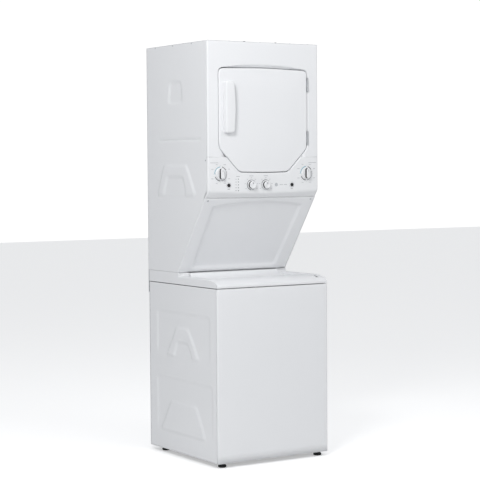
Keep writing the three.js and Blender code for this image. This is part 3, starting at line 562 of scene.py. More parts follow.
def hole_rim(line, outward, back):
    """Columns of (x, y, z) from deep in the door's opening out over its rolled edge."""
    columns = [(line, np.full(len(line), y)) for y in np.linspace(back, FACE + ROLL, 4)]
    for turn in quarter()[1:]:
        reach = ROLL * (1 - math.cos(turn))
        columns.append((line + outward * reach, np.full(len(line), FACE + ROLL * (1 - math.sin(turn)))))
    return columns


def normals_of(line):
    """The left-hand normals of a line of points."""
    along = np.gradient(line, axis=0)
    along /= np.linalg.norm(along, axis=1)[:, None]
    return np.stack([-along[:, 1], along[:, 0]], axis=-1)


def add_dryer_front():
    corner = door_corners(DOOR_GAP)
    x = seam_crossing(SEAM)
    order = ["left_shoulder", "left_top", "top", "right_top", "right_shoulder"]
    path = [(-x, SEAM, 0), *[corner[c] for c in order], (x, SEAM, 0)]
    line = rounded(path, closed=False, step=5)
    outward = normals_of(line)
    notch = 3.5 * hinge_notch(line[:, 1]) * (line[:, 0] > 200)

    left = int(np.argmin(np.hypot(line[:, 0] + corner["right_top"][0], line[:, 1] - corner["right_top"][1])))
    right = len(line) - 1 - left
    border = np.empty_like(line)
    for i, (px, pz) in enumerate(line):
        if left <= i <= right:
            share = (i - left) / (right - left)
            border[i] = (HALF * (2 * share - 1), TOP)
        else:
            rise = (pz - SEAM) / (line[left][1] - SEAM)
            border[i] = (math.copysign(HALF, px), SEAM + rise * (TOP - SEAM))

    columns = [np.stack([flat[:, 0] + notch, depth, flat[:, 1]], axis=-1)
               for flat, depth in hole_rim(line, outward, BULKHEAD - 1)]
    start = columns[-1][:, [0, 2]]
    inner = border.copy()
    inner[:, 0] = np.clip(border[:, 0], -(HALF - CORNER), HALF - CORNER)
    inner[:, 1] = np.minimum(border[:, 1], TOP - 2)
    for t in (np.linspace(0, 1, 19)[1:]) ** 1.7:
        flat = start + (inner - start) * t
        columns.append(np.stack([flat[:, 0], np.full(len(line), FACE), flat[:, 1]], axis=-1))
    for turn in quarter(7)[1:]:
        share = math.sin(turn)
        flat = inner + (border - inner) * share
        at_side = np.abs(border[:, 0]) > HALF - 0.1
        depth = np.where(at_side, CORNER, 2) * (1 - math.cos(turn))
        columns.append(np.stack([flat[:, 0], FACE + depth, flat[:, 1]], axis=-1))
    last = columns[-1].copy()
    last[:, 1] = FACE + SIDE_RETURN
    columns.append(last)
    points = np.array(columns)
    points[..., 1] += eyebrow(points[..., 0], points[..., 2]) * (points[..., 1] < BULKHEAD - 2)
    points[..., 1] = np.minimum(points[..., 1], BULKHEAD - 1)
    pressed("dryer_front_skin", points, (0, -1, 0), "cabinet", "enamel", replaces=("dryer_front_panel",))


def add_top_panel():
    low, high = span("dryer_top_panel")
    softened("dryer_top_panel", width=0.5, steps=3, name="dryer_top_skin")
    heads = []
    for x in (-180, -15, 150, 250):
        heads.append(((x, low.y + 9, high.z), (0, 0, 1)))
    for y in (170, 300, 430, 560):
        heads.append(((-HALF + 10, y, high.z), (0, 0, 1)))
        heads.append(((HALF - 10, y, high.z), (0, 0, 1)))
    add_screws("top_screws", heads, 3.6, "cabinet")
    dark = [((x, low.y + 8, high.z), (0, 0, 1)) for x in (-100, 70)]
    add_screws("top_corner_screws", dark, 5.2, "cabinet", "black_plastic")


# ---------------------------------------------------------------- screws


def screw(centre, direction, radius):
    """A pan-head screw with a cross recess, as a bmesh, its head standing on a surface."""
    shape = bmesh.new()
    arm, slot = 0.55 * radius, 0.16 * radius
    tall = 0.45 * radius
    plus = [(slot, arm), (-slot, arm), (-slot, slot), (-arm, slot), (-arm, -slot), (-slot, -slot),
            (-slot, -arm), (slot, -arm), (slot, -slot), (arm, -slot), (arm, slot), (slot, slot)]
    count = 24
    around = [(math.cos(2 * math.pi * i / count), math.sin(2 * math.pi * i / count)) for i in range(count)]
    rings = []
    for r, h in ((radius, -0.3), (radius, 0.25 * tall), (0.93 * radius, 0.7 * tall), (0.72 * radius, tall)):
        rings.append([shape.verts.new((r * a, r * b, h)) for a, b in around])
    bridge(shape, rings)
    shape.faces.new(rings[0][::-1])
    mouth = [shape.verts.new((a, b, tall)) for a, b in plus]
    floor = [shape.verts.new((0.8 * a, 0.8 * b, 0.35 * tall)) for a, b in plus]
    bridge(shape, [mouth, floor])
    shape.faces.new(floor)
    rim = [shape.edges.get((ring_[j], ring_[(j + 1) % len(ring_)])) for ring_ in (rings[-1], mouth)
           for j in range(len(ring_))]
    bmesh.ops.triangle_fill(shape, edges=rim, use_beauty=True)
    bmesh.ops.recalc_face_normals(shape, faces=shape.faces)
    move = Matrix.Translation(place(*centre)) @ aimed(direction) @ Matrix.Scale(MM, 4)
    bmesh.ops.transform(shape, matrix=move, verts=shape.verts)
    return shape


def add_screws(name, heads, radius, body, slot="zinc_steel"):
    shapes = [screw(centre, direction, radius) for centre, direction in heads]
    return add(name, baked(name, merged(shapes)), body, slot)


# ---------------------------------------------------------------- control panel


def add_control_panel():
    corner = door_corners(DOOR_GAP)
    seam = SEAM - 0.8
    x = seam_crossing(seam)
    path = [(-x, seam, 0), corner["left_chin"], corner["low"], corner["right_chin"], (x, seam, 0)]
    dip = rounded(path, closed=False, step=5)
    shoulder = [(px, seam) for px in np.linspace(-(HALF - CORNER), -x, 14)[:-1]]
    top = np.array(shoulder + [tuple(p) for p in dip] + [(-px, pz) for px, pz in shoulder[::-1]])
    in_hole = np.concatenate([np.zeros(13), np.ones(len(dip)), np.zeros(13)]) > 0

    # Each column is (x, extra depth): the folded cheek, then across the face.
    cheek = [(HALF, SIDE_RETURN)]
    cheek += [(HALF - CORNER * (1 - math.cos(a)), CORNER * (1 - math.sin(a))) for a in quarter(6)[:-1]]
    xs = [-a for a, _ in cheek] + list(top[:, 0]) + [a for a, _ in cheek[::-1]]
    extra = [b for _, b in cheek] + [0.0] * len(top) + [b for _, b in cheek[::-1]]
    side = len(cheek)
    tops = [seam] * side + list(top[:, 1]) + [seam] * side
    deep = [False] * side + list(in_hole) + [False] * side

    points = []
    for px, more, tz, hole in zip(xs, extra, tops, deep):
        bowed = PANEL_LOW - BOW * (1 - (px / HALF) ** 2)
        column = []
        edge = ROLL if hole else 1.5
        back = BULKHEAD - 1 if hole else FACE + 3
        column += [(y, tz) for y in np.linspace(back, FACE + edge, 3)]
        column += [(FACE + edge * (1 - math.sin(a)), tz - edge * (1 - math.cos(a))) for a in quarter()[1:]]
        lip = Vector((CREASE_Y - FACE, CREASE_Z - bowed)).normalized()
        fold = 9.0
        column += [(FACE, z) for z in np.linspace(tz - edge, bowed + fold, 16)[1:]]
        for t in np.linspace(0, 1, 7)[1:]:
            y = FACE + t * t * fold * lip.x
            z = (1 - t) ** 2 * (bowed + fold) + 2 * t * (1 - t) * bowed + t * t * (bowed + fold * lip.y)
            column.append((y, z))
        start = column[-1]
        column += [(start[0] + (CREASE_Y - start[0]) * t, start[1] + (CREASE_Z - start[1]) * t)
                   for t in (0.35, 0.7, 1.0)]
        points.append([(px, y + more, z) for y, z in column])
    pressed("control_panel_skin", points, (0, -1, 0), "cabinet", "white_plastic", thickness=2.6,
            replaces=("control_panel",))


MARK = (FACE - 0.16, FACE + 0.1)  # front and back of a printed mark


def band(x, z, inner, outer, start, end, steps=40):
    """Part of a printed ring, as a bmesh. Angles are clock degrees, seen from the front."""
    near, far = MARK
    loops = []
    for i in range(steps + 1):
        turn = math.radians(start + (end - start) * i / steps)
        a, b = math.sin(turn), math.cos(turn)
        section = ((inner, near), (outer, near), (outer, far), (inner, far))
        loops.append([(x + r * a, y, z + r * b) for r, y in section])
    return lofted(loops)


def dash(x, z, wide, tall, turn=0.0):
    """A printed dash, as a bmesh."""
    c, s = math.cos(turn), math.sin(turn)
    ends = [(-wide / 2, -tall / 2), (wide / 2, -tall / 2), (wide / 2, tall / 2), (-wide / 2, tall / 2)]
    loops = [[(x + a * c - b * s, y, z + a * s + b * c) for a, b in ends] for y in MARK]
    return lofted(loops)


def add_prints(name, shapes, material):
    return add(name, baked(name, merged(shapes)), "cabinet", "grey_plastic", material)


def add_scales():
    """Printed rings, ticks and dashes round the controls. There is no lettering."""
    blue, dark, grey = [], [], []
    for node in BIG_KNOBS:
        x, _, z = middle(node)
        blue.append(band(x, z, 30.2, 33.2, 268, 356))
        dark.append(band(x, z, 30.2, 33.2, 14, 58))
        dark.append(band(x, z, 30.2, 33.2, 184, 246))
        grey.append(band(x, z, 30.2, 32.6, 66, 176))
        for clock in range(0, 360, 15):
            turn = math.radians(clock)
            long = clock % 45 == 0
            r = 38.2 if long else 37.2
            tick_x, tick_z = x + r * math.sin(turn), z + r * math.cos(turn)
            grey.append(dash(tick_x, tick_z, 0.7, 4.2 if long else 2.4, -turn))
        for clock in (-62, -25, 25, 62, 118, 155, 205, 242):
            turn = math.radians(clock)
            wide = 13 if clock in (25, 155, -62, 242) else 10
            cx, cz = x + 50 * math.sin(turn), z + 46 * math.cos(turn)
            if abs(cx) < HALF - wide / 2 - 3:
                grey.append(dash(cx, cz, wide, 1.5))
    for node in SMALL_KNOBS:
        x, _, z = middle(node)
        start, end = (188, 352) if node == "water_temperature_knob" else (292, 384)
        dark.append(band(x, z, 21.4, 23.8, start, end))
        grey.append(band(x, z, 21.6, 23.4, end + 4, start + 356))
        for clock in range(-120, 121, 40):
            turn = math.radians(clock)
            grey.append(dash(x + 26 * math.sin(turn), z + 26 * math.cos(turn), 0.8, 3.6, -turn))
            grey.append(dash(x + 34 * math.sin(turn), z + 33 * math.cos(turn), 7, 1.2))
        grey.append(dash(x, z + 41, 22, 1.6))
    for node in BUTTONS:
        x, _, z = middle(node)
        grey.append(dash(x, z - 18, 13, 1.8))
        grey.append(band(x, z, 12.2, 12.9, 0, 359.9, 48))
    for z in LAMP_HEIGHTS:
        grey.append(dash(-153, z, 11, 1.3))
    grey.append(dash(-142, 1310, 18, 1.7))
    for x0, x1, z in ((-290, -246, 1372), (246, 290, 1372), (84, 104, 1271), (108, 126, 1271)):
        grey.append(dash((x0 + x1) / 2, z, x1 - x0, 1.4))
    add_prints("blue_scale_arcs", blue, BLUE_INK)
    add_prints("dark_scale_arcs", dark, DARK_INK)
    add_prints("grey_scale_marks", grey, SCALE_INK)
    for i, z in enumerate(LAMP_HEIGHTS):
        dome = [(0.05, 1.0), (2.4, 1.0), (2.4, -0.5), (1.9, -1.0), (1.0, -1.25), (0.05, -1.3)]
        turned(f"cycle_lamp_{i + 1}", "y", (-140, FACE, z), dome, "cabinet", "grey_plastic", LAMP, 24)
    badge = [(0.05, 0.1), (8.5, 0.1), (8.5, -0.5), (8.0, -0.9), (6.8, -0.6), (0.05, -0.5)]
    turned("plain_badge", "y", (66, FACE, 1271), badge, "cabinet", "grey_plastic", None, 40)


# ---------------------------------------------------------------- knobs and buttons


def add_big_knobs():
    for node in BIG_KNOBS:
        x, _, z = middle(node)
        centre = (x, FACE, z)

        def scallop(turn, r, h):
            return 1.0 - 0.006 * (0.5 + 0.5 * math.cos(36 * turn)) if 26 < r < 28 and h < -1 else 1.0

        skirt = [(0.05, 16), (3.4, 16), (3.4, -0.6), (25.5, -0.6), (26.6, -1.2), (27.0, -2.4),
                 (26.8, -3.6), (25.8, -4.9), (24.2, -5.8), (22.0, -6.1), (12.0, -6.2), (0.05, -6.2)]
        turned(f"{node}_skirt", "y", centre, skirt, body_of(node), "white_plastic", steps=144,
               wobble=scallop, replaces=(node,))
        flank = grip_loops(x, z, [(-5.6, 9.9, 23.6), (-6.8, 9.4, 23.1), (-8.5, 9.1, 22.7),
                                  (-16.6, 8.7, 22.0)])
        add(f"{node}_grip", baked("grip", lofted(flank)), body_of(node), "black_plastic")
        cap = grip_loops(x, z, [(-16.6, 8.3, 21.6), (-16.7, 8.9, 22.2), (-18.4, 8.8, 22.1),
                                (-19.4, 8.2, 21.5), (-19.9, 7.0, 20.3), (-20.0, 5.6, 18.9)])
        add(f"{node}_cap", baked("cap", lofted(cap)), body_of(node), "white_plastic")
        line = rounded_block((x - 0.8, FACE - 20.15, z + 8), (x + 0.8, FACE - 19.6, z + 18), 0.25, 2)
        add(f"{node}_pointer", baked("pointer", line), body_of(node), "black_plastic")


def grip_loops(x, z, sections):
    """Loops of an upright bar with round ends, through (depth, half width, half height) sections."""
    loops = []
    for y, wide, tall in sections:
        outline = rounded([(-wide, -tall, wide * 0.9), (wide, -tall, wide * 0.9),
                           (wide, tall, wide * 0.9), (-wide, tall, wide * 0.9)], step=600, arc=9)
        loops.append([(x + a, FACE + y, z + b) for a, b in outline])
    return loops


def add_small_knobs():
    for node in SMALL_KNOBS:
        x, _, z = middle(node)
        centre = (x, FACE, z)

        def flutes(turn, r, h):
            return 1.0 - 0.022 * max(0.0, math.cos(18 * turn)) if -16 < h < -4.5 and r > 14 else 1.0

        skirt = [(0.05, 14), (3.4, 14), (3.4, -0.6), (18.4, -0.6), (19.0, -1.2), (19.0, -2.2), (18.4, -2.9),
                 (17.0, -3.2), (0.05, -3.3)]
        turned(f"{node}_skirt", "y", centre, skirt, body_of(node), "white_plastic", steps=72,
               replaces=(node,))
        side = [(0.05, -2.8), (17.2, -2.9), (17.0, -4.2), (16.8, -8), (16.7, -12.2), (0.05, -12.6)]
        turned(f"{node}_side", "y", centre, side, body_of(node), "black_plastic", steps=144, wobble=flutes)
        cap = [(0.05, -12.0), (16.6, -12.1), (17.0, -12.8), (16.8, -16.0), (16.0, -17.3), (14.6, -17.9),
               (12.4, -18.0), (11.6, -17.5), (0.05, -17.3)]
        turned(f"{node}_cap", "y", centre, cap, body_of(node), "white_plastic", steps=72)
        pointer = rounded_block((x - 0.9, FACE - 17.9, z + 3), (x + 0.9, FACE - 17.0, z + 11.5), 0.3, 2)
        add(f"{node}_pointer", baked("pointer", pointer), body_of(node), "black_plastic")


def add_buttons():
    for node in BUTTONS:
        x, _, z = middle(node)
        profile = [(0.05, 12), (4, 12), (4, 5.8), (10.5, 5.8), (10.5, 3.6), (8, 3.6), (8, -2.6), (7.6, -3.6),
                   (6.8, -4.3), (5.6, -4.4), (3.5, -3.9), (0.05, -3.7)]
        turned(f"{node}_cap", "y", (x, FACE, z), profile, body_of(node), "black_plastic", replaces=(node,))
        collar = [(8.6, 0.4), (8.6, -0.6), (9.0, -1.0), (10.6, -1.0), (11.2, -0.5), (11.2, 0.4)]
        ring(f"{node}_collar", "y", (x, FACE, z), collar, "cabinet", "white_plastic", None, 48)


# ---------------------------------------------------------------- door


def add_door():
    low, high = span("door_outer_panel")
    crown = 2.2
    edge = 5.0
    centre = np.array([0.0, (low.z + high.z) / 2])
    rows = []

    def row(outline, y, slip):
        z = outline[:, 1]
        x = outline[:, 0] - 3.6 * slip * hinge_notch(z) * (outline[:, 0] > 200)
        rows.append(np.stack([x, np.full(len(z), y) if np.isscalar(y) else y, z], axis=-1))

    for y in (high.y, high.y - 5, FACE + edge):
        row(door_outline(0), y, 1.0)
    for turn in quarter(7)[1:]:
        drawn_in, back = edge * (1 - math.cos(turn)), edge * (1 - math.sin(turn))
        row(door_outline(-drawn_in), FACE + back, 1.0 - 0.4 * math.sin(turn))
    for inset in (8, 14, 22, 34, 50):
        rise = crown * float(smooth((inset - edge) / 90))
        row(door_outline(-inset), FACE - rise, max(0.0, 0.6 - inset / 40))
    base = door_outline(-50)
    for share in (0.85, 0.7, 0.5, 0.3, 0.12):
        inset = 50 + (1 - share) * 190
        row(centre + (base - centre) * share, FACE - crown * float(smooth((inset - edge) / 90)), 0.0)
    pressed("door_outer_skin", rows, (0, -1, 0), "door", "enamel", closed=True, cap=True,
            replaces=("door_outer_panel",))


def liner_box(inset, radius):
    """Corners of the liner's bulge, starting where the door's outline starts."""
    x, low, high = 165 - inset, 1425 + inset, 1715 - inset
    chin, shoulder = 0.55 * x, low + 46
    return [(-chin, low, radius), (0, low, 2000), (chin, low, radius), (x, shoulder, radius),
            (x, high, radius), (0, high, 2000), (-x, high, radius), (-x, shoulder, radius)]


def add_door_liner():
    high = span("door_inner_panel")[1]
    seat = high.y - 13
    base = list(door_corners(0).values())
    outer = door_outline(-SHEET - 0.4)
    foot = rounded(liner_box(-6, 30), like=base)
    rows = [(outer + (foot - outer) * t, seat) for t in (0, 0.12, 0.3, 0.6, 0.85, 1)]
    for inset, rise in ((-2, 0.6), (0, 2.6), (1, 8), (2.6, 10.8), (6, 11.8), (12, 12), (40, 12.4)):
        rows.append((rounded(liner_box(inset, 26), like=base), seat + rise))
    centre = np.array([0.0, 1570.0])
    flat_top = rows[-1][0]
    for share in (0.7, 0.35, 0.1):
        rows.append((centre + (flat_top - centre) * share, seat + 12.6))
    grid = [np.stack([line[:, 0], np.full(len(line), y), line[:, 1]], axis=-1) for line, y in rows]
    pressed("door_liner_skin", grid, (0, 1, 0), "door", "white_plastic", thickness=1.8, closed=True, cap=True,
            replaces=("door_inner_panel",))
    spots = [(x, z) for x in (-215, 215) for z in (1470, 1600, 1740)]
    spots += [(x, 1780) for x in (-110, 0, 110)] + [(x, 1352) for x in (-100, 100)]
    add_screws("door_liner_screws", [((x, seat, z), (0, 1, 0)) for x, z in spots], 3.8, "door")


def add_handle():
    low, high = span("door_handle")
    mid = (low.z + high.z) / 2
    radius = 7.0
    bulge = 7
    wall = 12

    def corners(inset):
        left, right = low.x + inset, -171 - inset
        bottom, top = low.z + inset, high.z - inset
        return [(left, bottom, 9), (right, bottom, 16), (right + bulge, mid, 420), (right, top, 16),
                (left, top, 9)]

    def grip(inset):
        return rounded(corners(inset), step=6, arc=10, like=corners(0))

    loops = [(grip(0), high.y), (grip(0), low.y + radius)]
    loops += [(grip(radius * (1 - math.cos(a))), low.y + radius * (1 - math.sin(a))) for a in quarter(7)[1:]]
    centre = grip(radius).mean(axis=0)
    loops += [(centre + (grip(radius) - centre) * s, low.y - 0.8 * (1 - s)) for s in (0.7, 0.35)]
    body = [[(a, y, b) for a, b in line] for line, y in loops]
    mesh = baked("door_handle_skin", lofted(body))
    piece = add("door_handle_skin", mesh, "door", "white_plastic", replaces=("door_handle",))
    near, far = (low.x + wall, low.y + 6.5, low.z + wall), (-100, high.y + 20, high.z - wall)
    carve(piece, baked("cutter", rounded_block(near, far, 5, 4)))


def carve(piece, cutter_mesh):
    """Cuts a mesh out of a piece for good."""
    cutter = bpy.data.objects.new("cutter", cutter_mesh)
    bpy.context.scene.collection.objects.link(cutter)
    cut = piece.modifiers.new("Carve", "BOOLEAN")
    cut.operation = "DIFFERENCE"
    cut.solver = "EXACT"
    cut.object = cutter
    bpy.context.view_layer.update()
    evaluated = piece.evaluated_get(bpy.context.evaluated_depsgraph_get())
    result = bpy.data.meshes.new_from_object(evaluated)
    piece.modifiers.clear()
    piece.data = result
    dress(result, FINISHES[piece["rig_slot"]])
    bpy.data.objects.remove(cutter)


def add_seal():
    """The door's seal: a soft tube on a flat flange, swept round its frame."""
    low, high = span("door_seal")

    def corners(d):
        return [(low.x + d, low.z + d, 78), (high.x - d, low.z + d, 78), (high.x - d, high.z - d, 48),
                (low.x + d, high.z - d, 48)]

    def frame_line(d):
        return rounded(corners(d), step=7, arc=12, like=corners(0))

    # Across the tube, from its outer side inwards: (distance in, height) in a section 12 high.
    section = [(0.3, 0.3), (0.3, 2.6), (1.6, 3.4), (2.2, 5.2), (1.8, 7.6), (2.6, 10.0), (4.5, 11.6),
               (6.0, 11.9), (7.6, 10.4), (8.2, 7.8), (7.4, 5.4), (7.6, 3.2), (8.7, 2.4), (8.7, 0.3)]
    scale = (high.y - low.y - 0.4) / 12.0
    loops = [[(a, low.y + h * scale, b) for a, b in frame_line(d)] for d, h in section]
    add("door_seal_skin", baked("door_seal_skin", hoop(loops)), "door", "rubber", replaces=("door_seal",))


# ---------------------------------------------------------------- slanted panel


def add_service_panel():
    along = (SLOPE_HEAD - SLOPE_FOOT).normalized()
    normal = Vector((0, -along.z, along.y))
    floor = span("service_panel")[0].z
    start = (floor - SLOPE_FOOT.z) / along.z
    end = (CREASE_Z - 0.9 - SLOPE_FOOT.z) / along.z
    xs = lines(-HALF, HALF, 6.5)
    ups = lines(start, end, 6.5)
    x, up = np.meshgrid(xs, ups)
    sides = inside([(-229, 36), (229, 36), (241.5, 440), (-241.5, 440)], x, up, 14, soft=20)
    crest = 392 + 24 * (1 - (x / 241.0) ** 2)
    field = np.minimum(sides, smooth(0.5 + (crest - up) / 14))
    lift = -8.0 * field
    points = np.stack([
        x,
        SLOPE_FOOT.y + up * along.y + lift * normal.y,
        SLOPE_FOOT.z + up * along.z + lift * normal.z,
    ], axis=-1)
    pressed("service_panel_skin", points, tuple(normal), "cabinet", "enamel", replaces=("service_panel",))
    spot = SLOPE_FOOT + along * (end - 13)
    heads = [((side * 281, spot.y, spot.z), tuple(normal)) for side in (-1, 1)]
    add_screws("service_panel_screws", heads, 4.2, "cabinet")


# ---------------------------------------------------------------- washer front, cover and lid


def add_washer_front():
    low, high = span("washer_front_panel")
    rows = []
    for z in lines(low.z, high.z, 40):
        row = [(-HALF, high.y, z)]
        row += [(-HALF + CORNER * (1 - math.cos(a)), CORNER * (1 - math.sin(a)), z) for a in quarter(7)]
        row += [(x, 0.0, z) for x in np.linspace(-HALF + CORNER, HALF - CORNER, 16)[1:-1]]
        row += [(HALF - CORNER * (1 - math.sin(a)), CORNER * (1 - math.cos(a)), z) for a in quarter(7)]
        row += [(HALF, high.y, z)]
        rows.append(row)
    # The top edge is folded back under the cover.
    fold = 2.0
    last = rows[-1]
    rows[-1] = [(x, y, high.z - fold) for x, y, _ in last]
    for a in quarter(4)[1:]:
        shrink = fold * (1 - math.cos(a))
        row = []
        for x, y, _ in last:
            inward = math.copysign(min(abs(x), shrink), -x) if abs(x) > HALF - CORNER else 0.0
            row.append((x + inward, y + (shrink if y < CORNER else 0.0), high.z - fold * (1 - math.sin(a))))
        rows.append(row)
    pressed("washer_front_skin", rows, (0, -1, 0), "cabinet", "enamel", replaces=("washer_front_panel",))


def add_cover_and_lid():
    cover_low, cover_top, deck, deck_front = 823, 862.5, 350, 346
    lid_half, lid_front, lid_low = 266, 26.5, 822

    def cover_bend(x, y, z):
        at_side = abs(abs(x) - HALF) < 0.2
        return (at_side and z > cover_low and y < deck) or (z > cover_top and y < deck_front) or (
            at_side and y < 0.2)

    softened("washer_top_cover", width=0.7, steps=3, bend=cover_bend, radius=5.0, name="washer_cover_skin")

    def lid_bend(x, y, z):
        return z > lid_low and (abs(abs(x) - lid_half) < 0.2 or y < lid_front)

    softened("washer_lid", width=0.5, steps=3, bend=lid_bend, radius=2.6, name="washer_lid_skin")
    profile = [(0.05, -3.5), (4.2, -3.5), (4.6, -2.8), (4.6, 1.2), (3.8, 1.9), (0.05, 2.1)]
    for side, name in ((-1, "left"), (1, "right")):
        turned(f"lid_hinge_cap_{name}", "x", (side * 250, 352, 855), profile, "cabinet", "black_plastic",
               steps=28)
    profile = [(0.05, 817.6), (5, 817.6), (5, 818.8), (4, 820.4), (0.05, 820.8)]
    bumpers = [lofted(turned_loops("z", (x, y, 0), profile, 24)) for x in (-225, 225) for y in (46, 300)]
    add("cover_bumpers", baked("cover_bumpers", merged(bumpers)), "cabinet", "rubber")


# ---------------------------------------------------------------- washer inside


def add_basket_detail():
    centre_y = middle("wash_basket")[1]
    inner = 238.0  # inside radius of the basket's wall
    marks, dark = [], []
    per_row = 36
    for row in range(11):
        z = 300 + row * 34
        for i in range(per_row):
            turn = 2 * math.pi * (i + 0.5 * (row % 2)) / per_row
            outward = Vector((math.cos(turn), math.sin(turn), 0))
            spot = Vector((0, centre_y, z)) + outward * (inner - 0.3)
            marks.append(disc(spot, -outward, 3.4, 0.7, 12))
            # The black disc inside each steel rim is painted shade: it stands for the dark seen through a
            # perforation that is not cut.
            dark.append(disc(spot - outward * 0.35, -outward, 2.4, 0.5, 12))
    add("basket_hole_rims", baked("rims", merged(marks)), "basket", "stainless_steel")
    add("basket_hole_shade", baked("hole_shade", merged(dark)), "basket", "black_plastic")
    lip = [(222.2, 724), (222.2, 728.4), (224, 731), (230, 732.4), (240, 732.4), (243.2, 730), (243.6, 726)]
    ring("basket_balance_ring", "z", (0, centre_y, 0), lip, "basket", "grey_plastic", None, 96)


def disc(centre, direction, radius, height, count):
    """A low disc standing on a surface, as a bmesh."""
    shape = bmesh.new()
    bmesh.ops.create_cone(shape, cap_ends=True, segments=count, radius1=radius * MM,
                          radius2=radius * 0.86 * MM, depth=height * MM)
    move = Matrix.Translation(place(*centre)) @ aimed(direction)
    bmesh.ops.transform(shape, matrix=move, verts=shape.verts)
    return shape


def add_agitator():
    centre_y = middle("agitator")[1]
    vane_foot, vane_head, vane_reach = 262, 600, 146

    def vanes(turn, r, h):
        if h < vane_foot or h > vane_head or r < 20:
            return 1.0
        height = (h - vane_foot) / (vane_head - vane_foot)
        proud = 12 + 32 * math.exp(-((height - 0.28) / 0.3) ** 2)
        sharp = max(0.0, math.cos(4 * (turn - 0.25 * height))) ** 14
        limit = max(vane_reach - r, 0.0)
        return 1.0 + min(proud * sharp, limit) / r

    profile = [(0.05, 236), (144, 258), (148, 259), (149.5, 261), (149, 264), (142, 267), (126, 272),
               (110, 281), (96, 294), (84, 308), (72, 328), (62, 352), (55, 380), (50, 410), (46, 445),
               (43.5, 480), (41.5, 520), (40.5, 560), (40.2, 590), (40.5, 612), (42, 632), (42.6, 638),
               (41, 644), (36, 649), (28, 651.6), (0.05, 652)]
    turned("agitator_skin", "z", (0, centre_y, 0), profile, "agitator", "grey_plastic", None, 192,
           replaces=("agitator",), wobble=vanes)
    cap = [(0.05, 650), (25, 650.5), (26, 652), (25, 654.5), (19, 656.8), (0.05, 657.6)]
    turned("agitator_cap", "z", (0, centre_y, 0), cap, "agitator", "white_plastic", None, 64)


# ---------------------------------------------------------------- dryer inside


def add_drum_detail():
    centre_z = middle("drum")[2]
    back = span("drum")[1].y - 29.0
    marks = []
    for count, radius in ((10, 50), (16, 85), (22, 120), (28, 155), (34, 190)):
        for i in range(count):
            turn = 2 * math.pi * i / count
            spot = Vector((radius * math.cos(turn), back - 0.2, centre_z + radius * math.sin(turn)))
            # These black discs are painted shade: they stand for the dark seen through the drum back's
            # perforations, which are not cut.
            marks.append(disc(spot, (0, -1, 0), 4.0, 0.6, 12))
    add("drum_back_hole_shade", baked("drum_back_hole_shade", merged(marks)), "drum", "black_plastic")
    for i, y in enumerate((200, 300, 420, 520)):
        bead = [(278.2, y - 5), (277.4, y - 2.5), (277.0, y), (277.4, y + 2.5), (278.2, y + 5),
                (279.0, y + 4), (279.0, y - 4)]
        ring(f"drum_bead_{i + 1}", "y", (0, 0, centre_z), bead, "drum", "stainless_steel", None, 128)


def add_lint_filter():
    low, high = span("lint_filter")
    softened("lint_filter", width=0.6, steps=3, name="lint_filter_frame")
    wires = []
    near = low.y + 3.2
    for x in np.arange(low.x + 10, high.x - 9, 6.0):
        ends = (x - 0.4, near, low.z + 6), (x + 0.4, near + 0.8, high.z - 18)
        wires.append(rounded_block(*ends, 0.2, 1))
    for z in np.arange(low.z + 10, high.z - 20, 6.0):
        ends = (low.x + 6, near + 0.8, z - 0.4), (high.x - 6, near + 1.6, z + 0.4)
        wires.append(rounded_block(*ends, 0.2, 1))
    add("lint_filter_mesh", baked("lint_filter_mesh", merged(wires)), "lint_filter", "stainless_steel")


# ---------------------------------------------------------------- back


def louvre(x0, x1, z, y):
    """A pressed louvre that stands out of the back, as a bmesh."""
    section = [(0.6, 0), (-0.2, 0), (-0.2, 2.5), (-3.6, 7.5), (-3.6, 8.3), (0.6, 8.3)]
    loops = [[(x, y - dy, z + dz) for dy, dz in section] for x in (x0, x1)]
    return lofted(loops)


def rib(x, z0, z1, y, wide=16, proud=3.0):
    """A long pressed rib with round ends, as a bmesh."""
    loops = []
    for grow, out in ((0, -0.4), (0, 0.2), (-2.2, proud * 0.8), (-4.5, proud)):
        half = wide / 2 + grow
        round_by = half * 0.95
        line = rounded([(x - half, z0 - grow, round_by), (x + half, z0 - grow, round_by),
                        (x + half, z1 + grow, round_by), (x - half, z1 + grow, round_by)], step=4000, arc=10)
        loops.append([(a, y + out, b) for a, b in line])
    return lofted(loops)


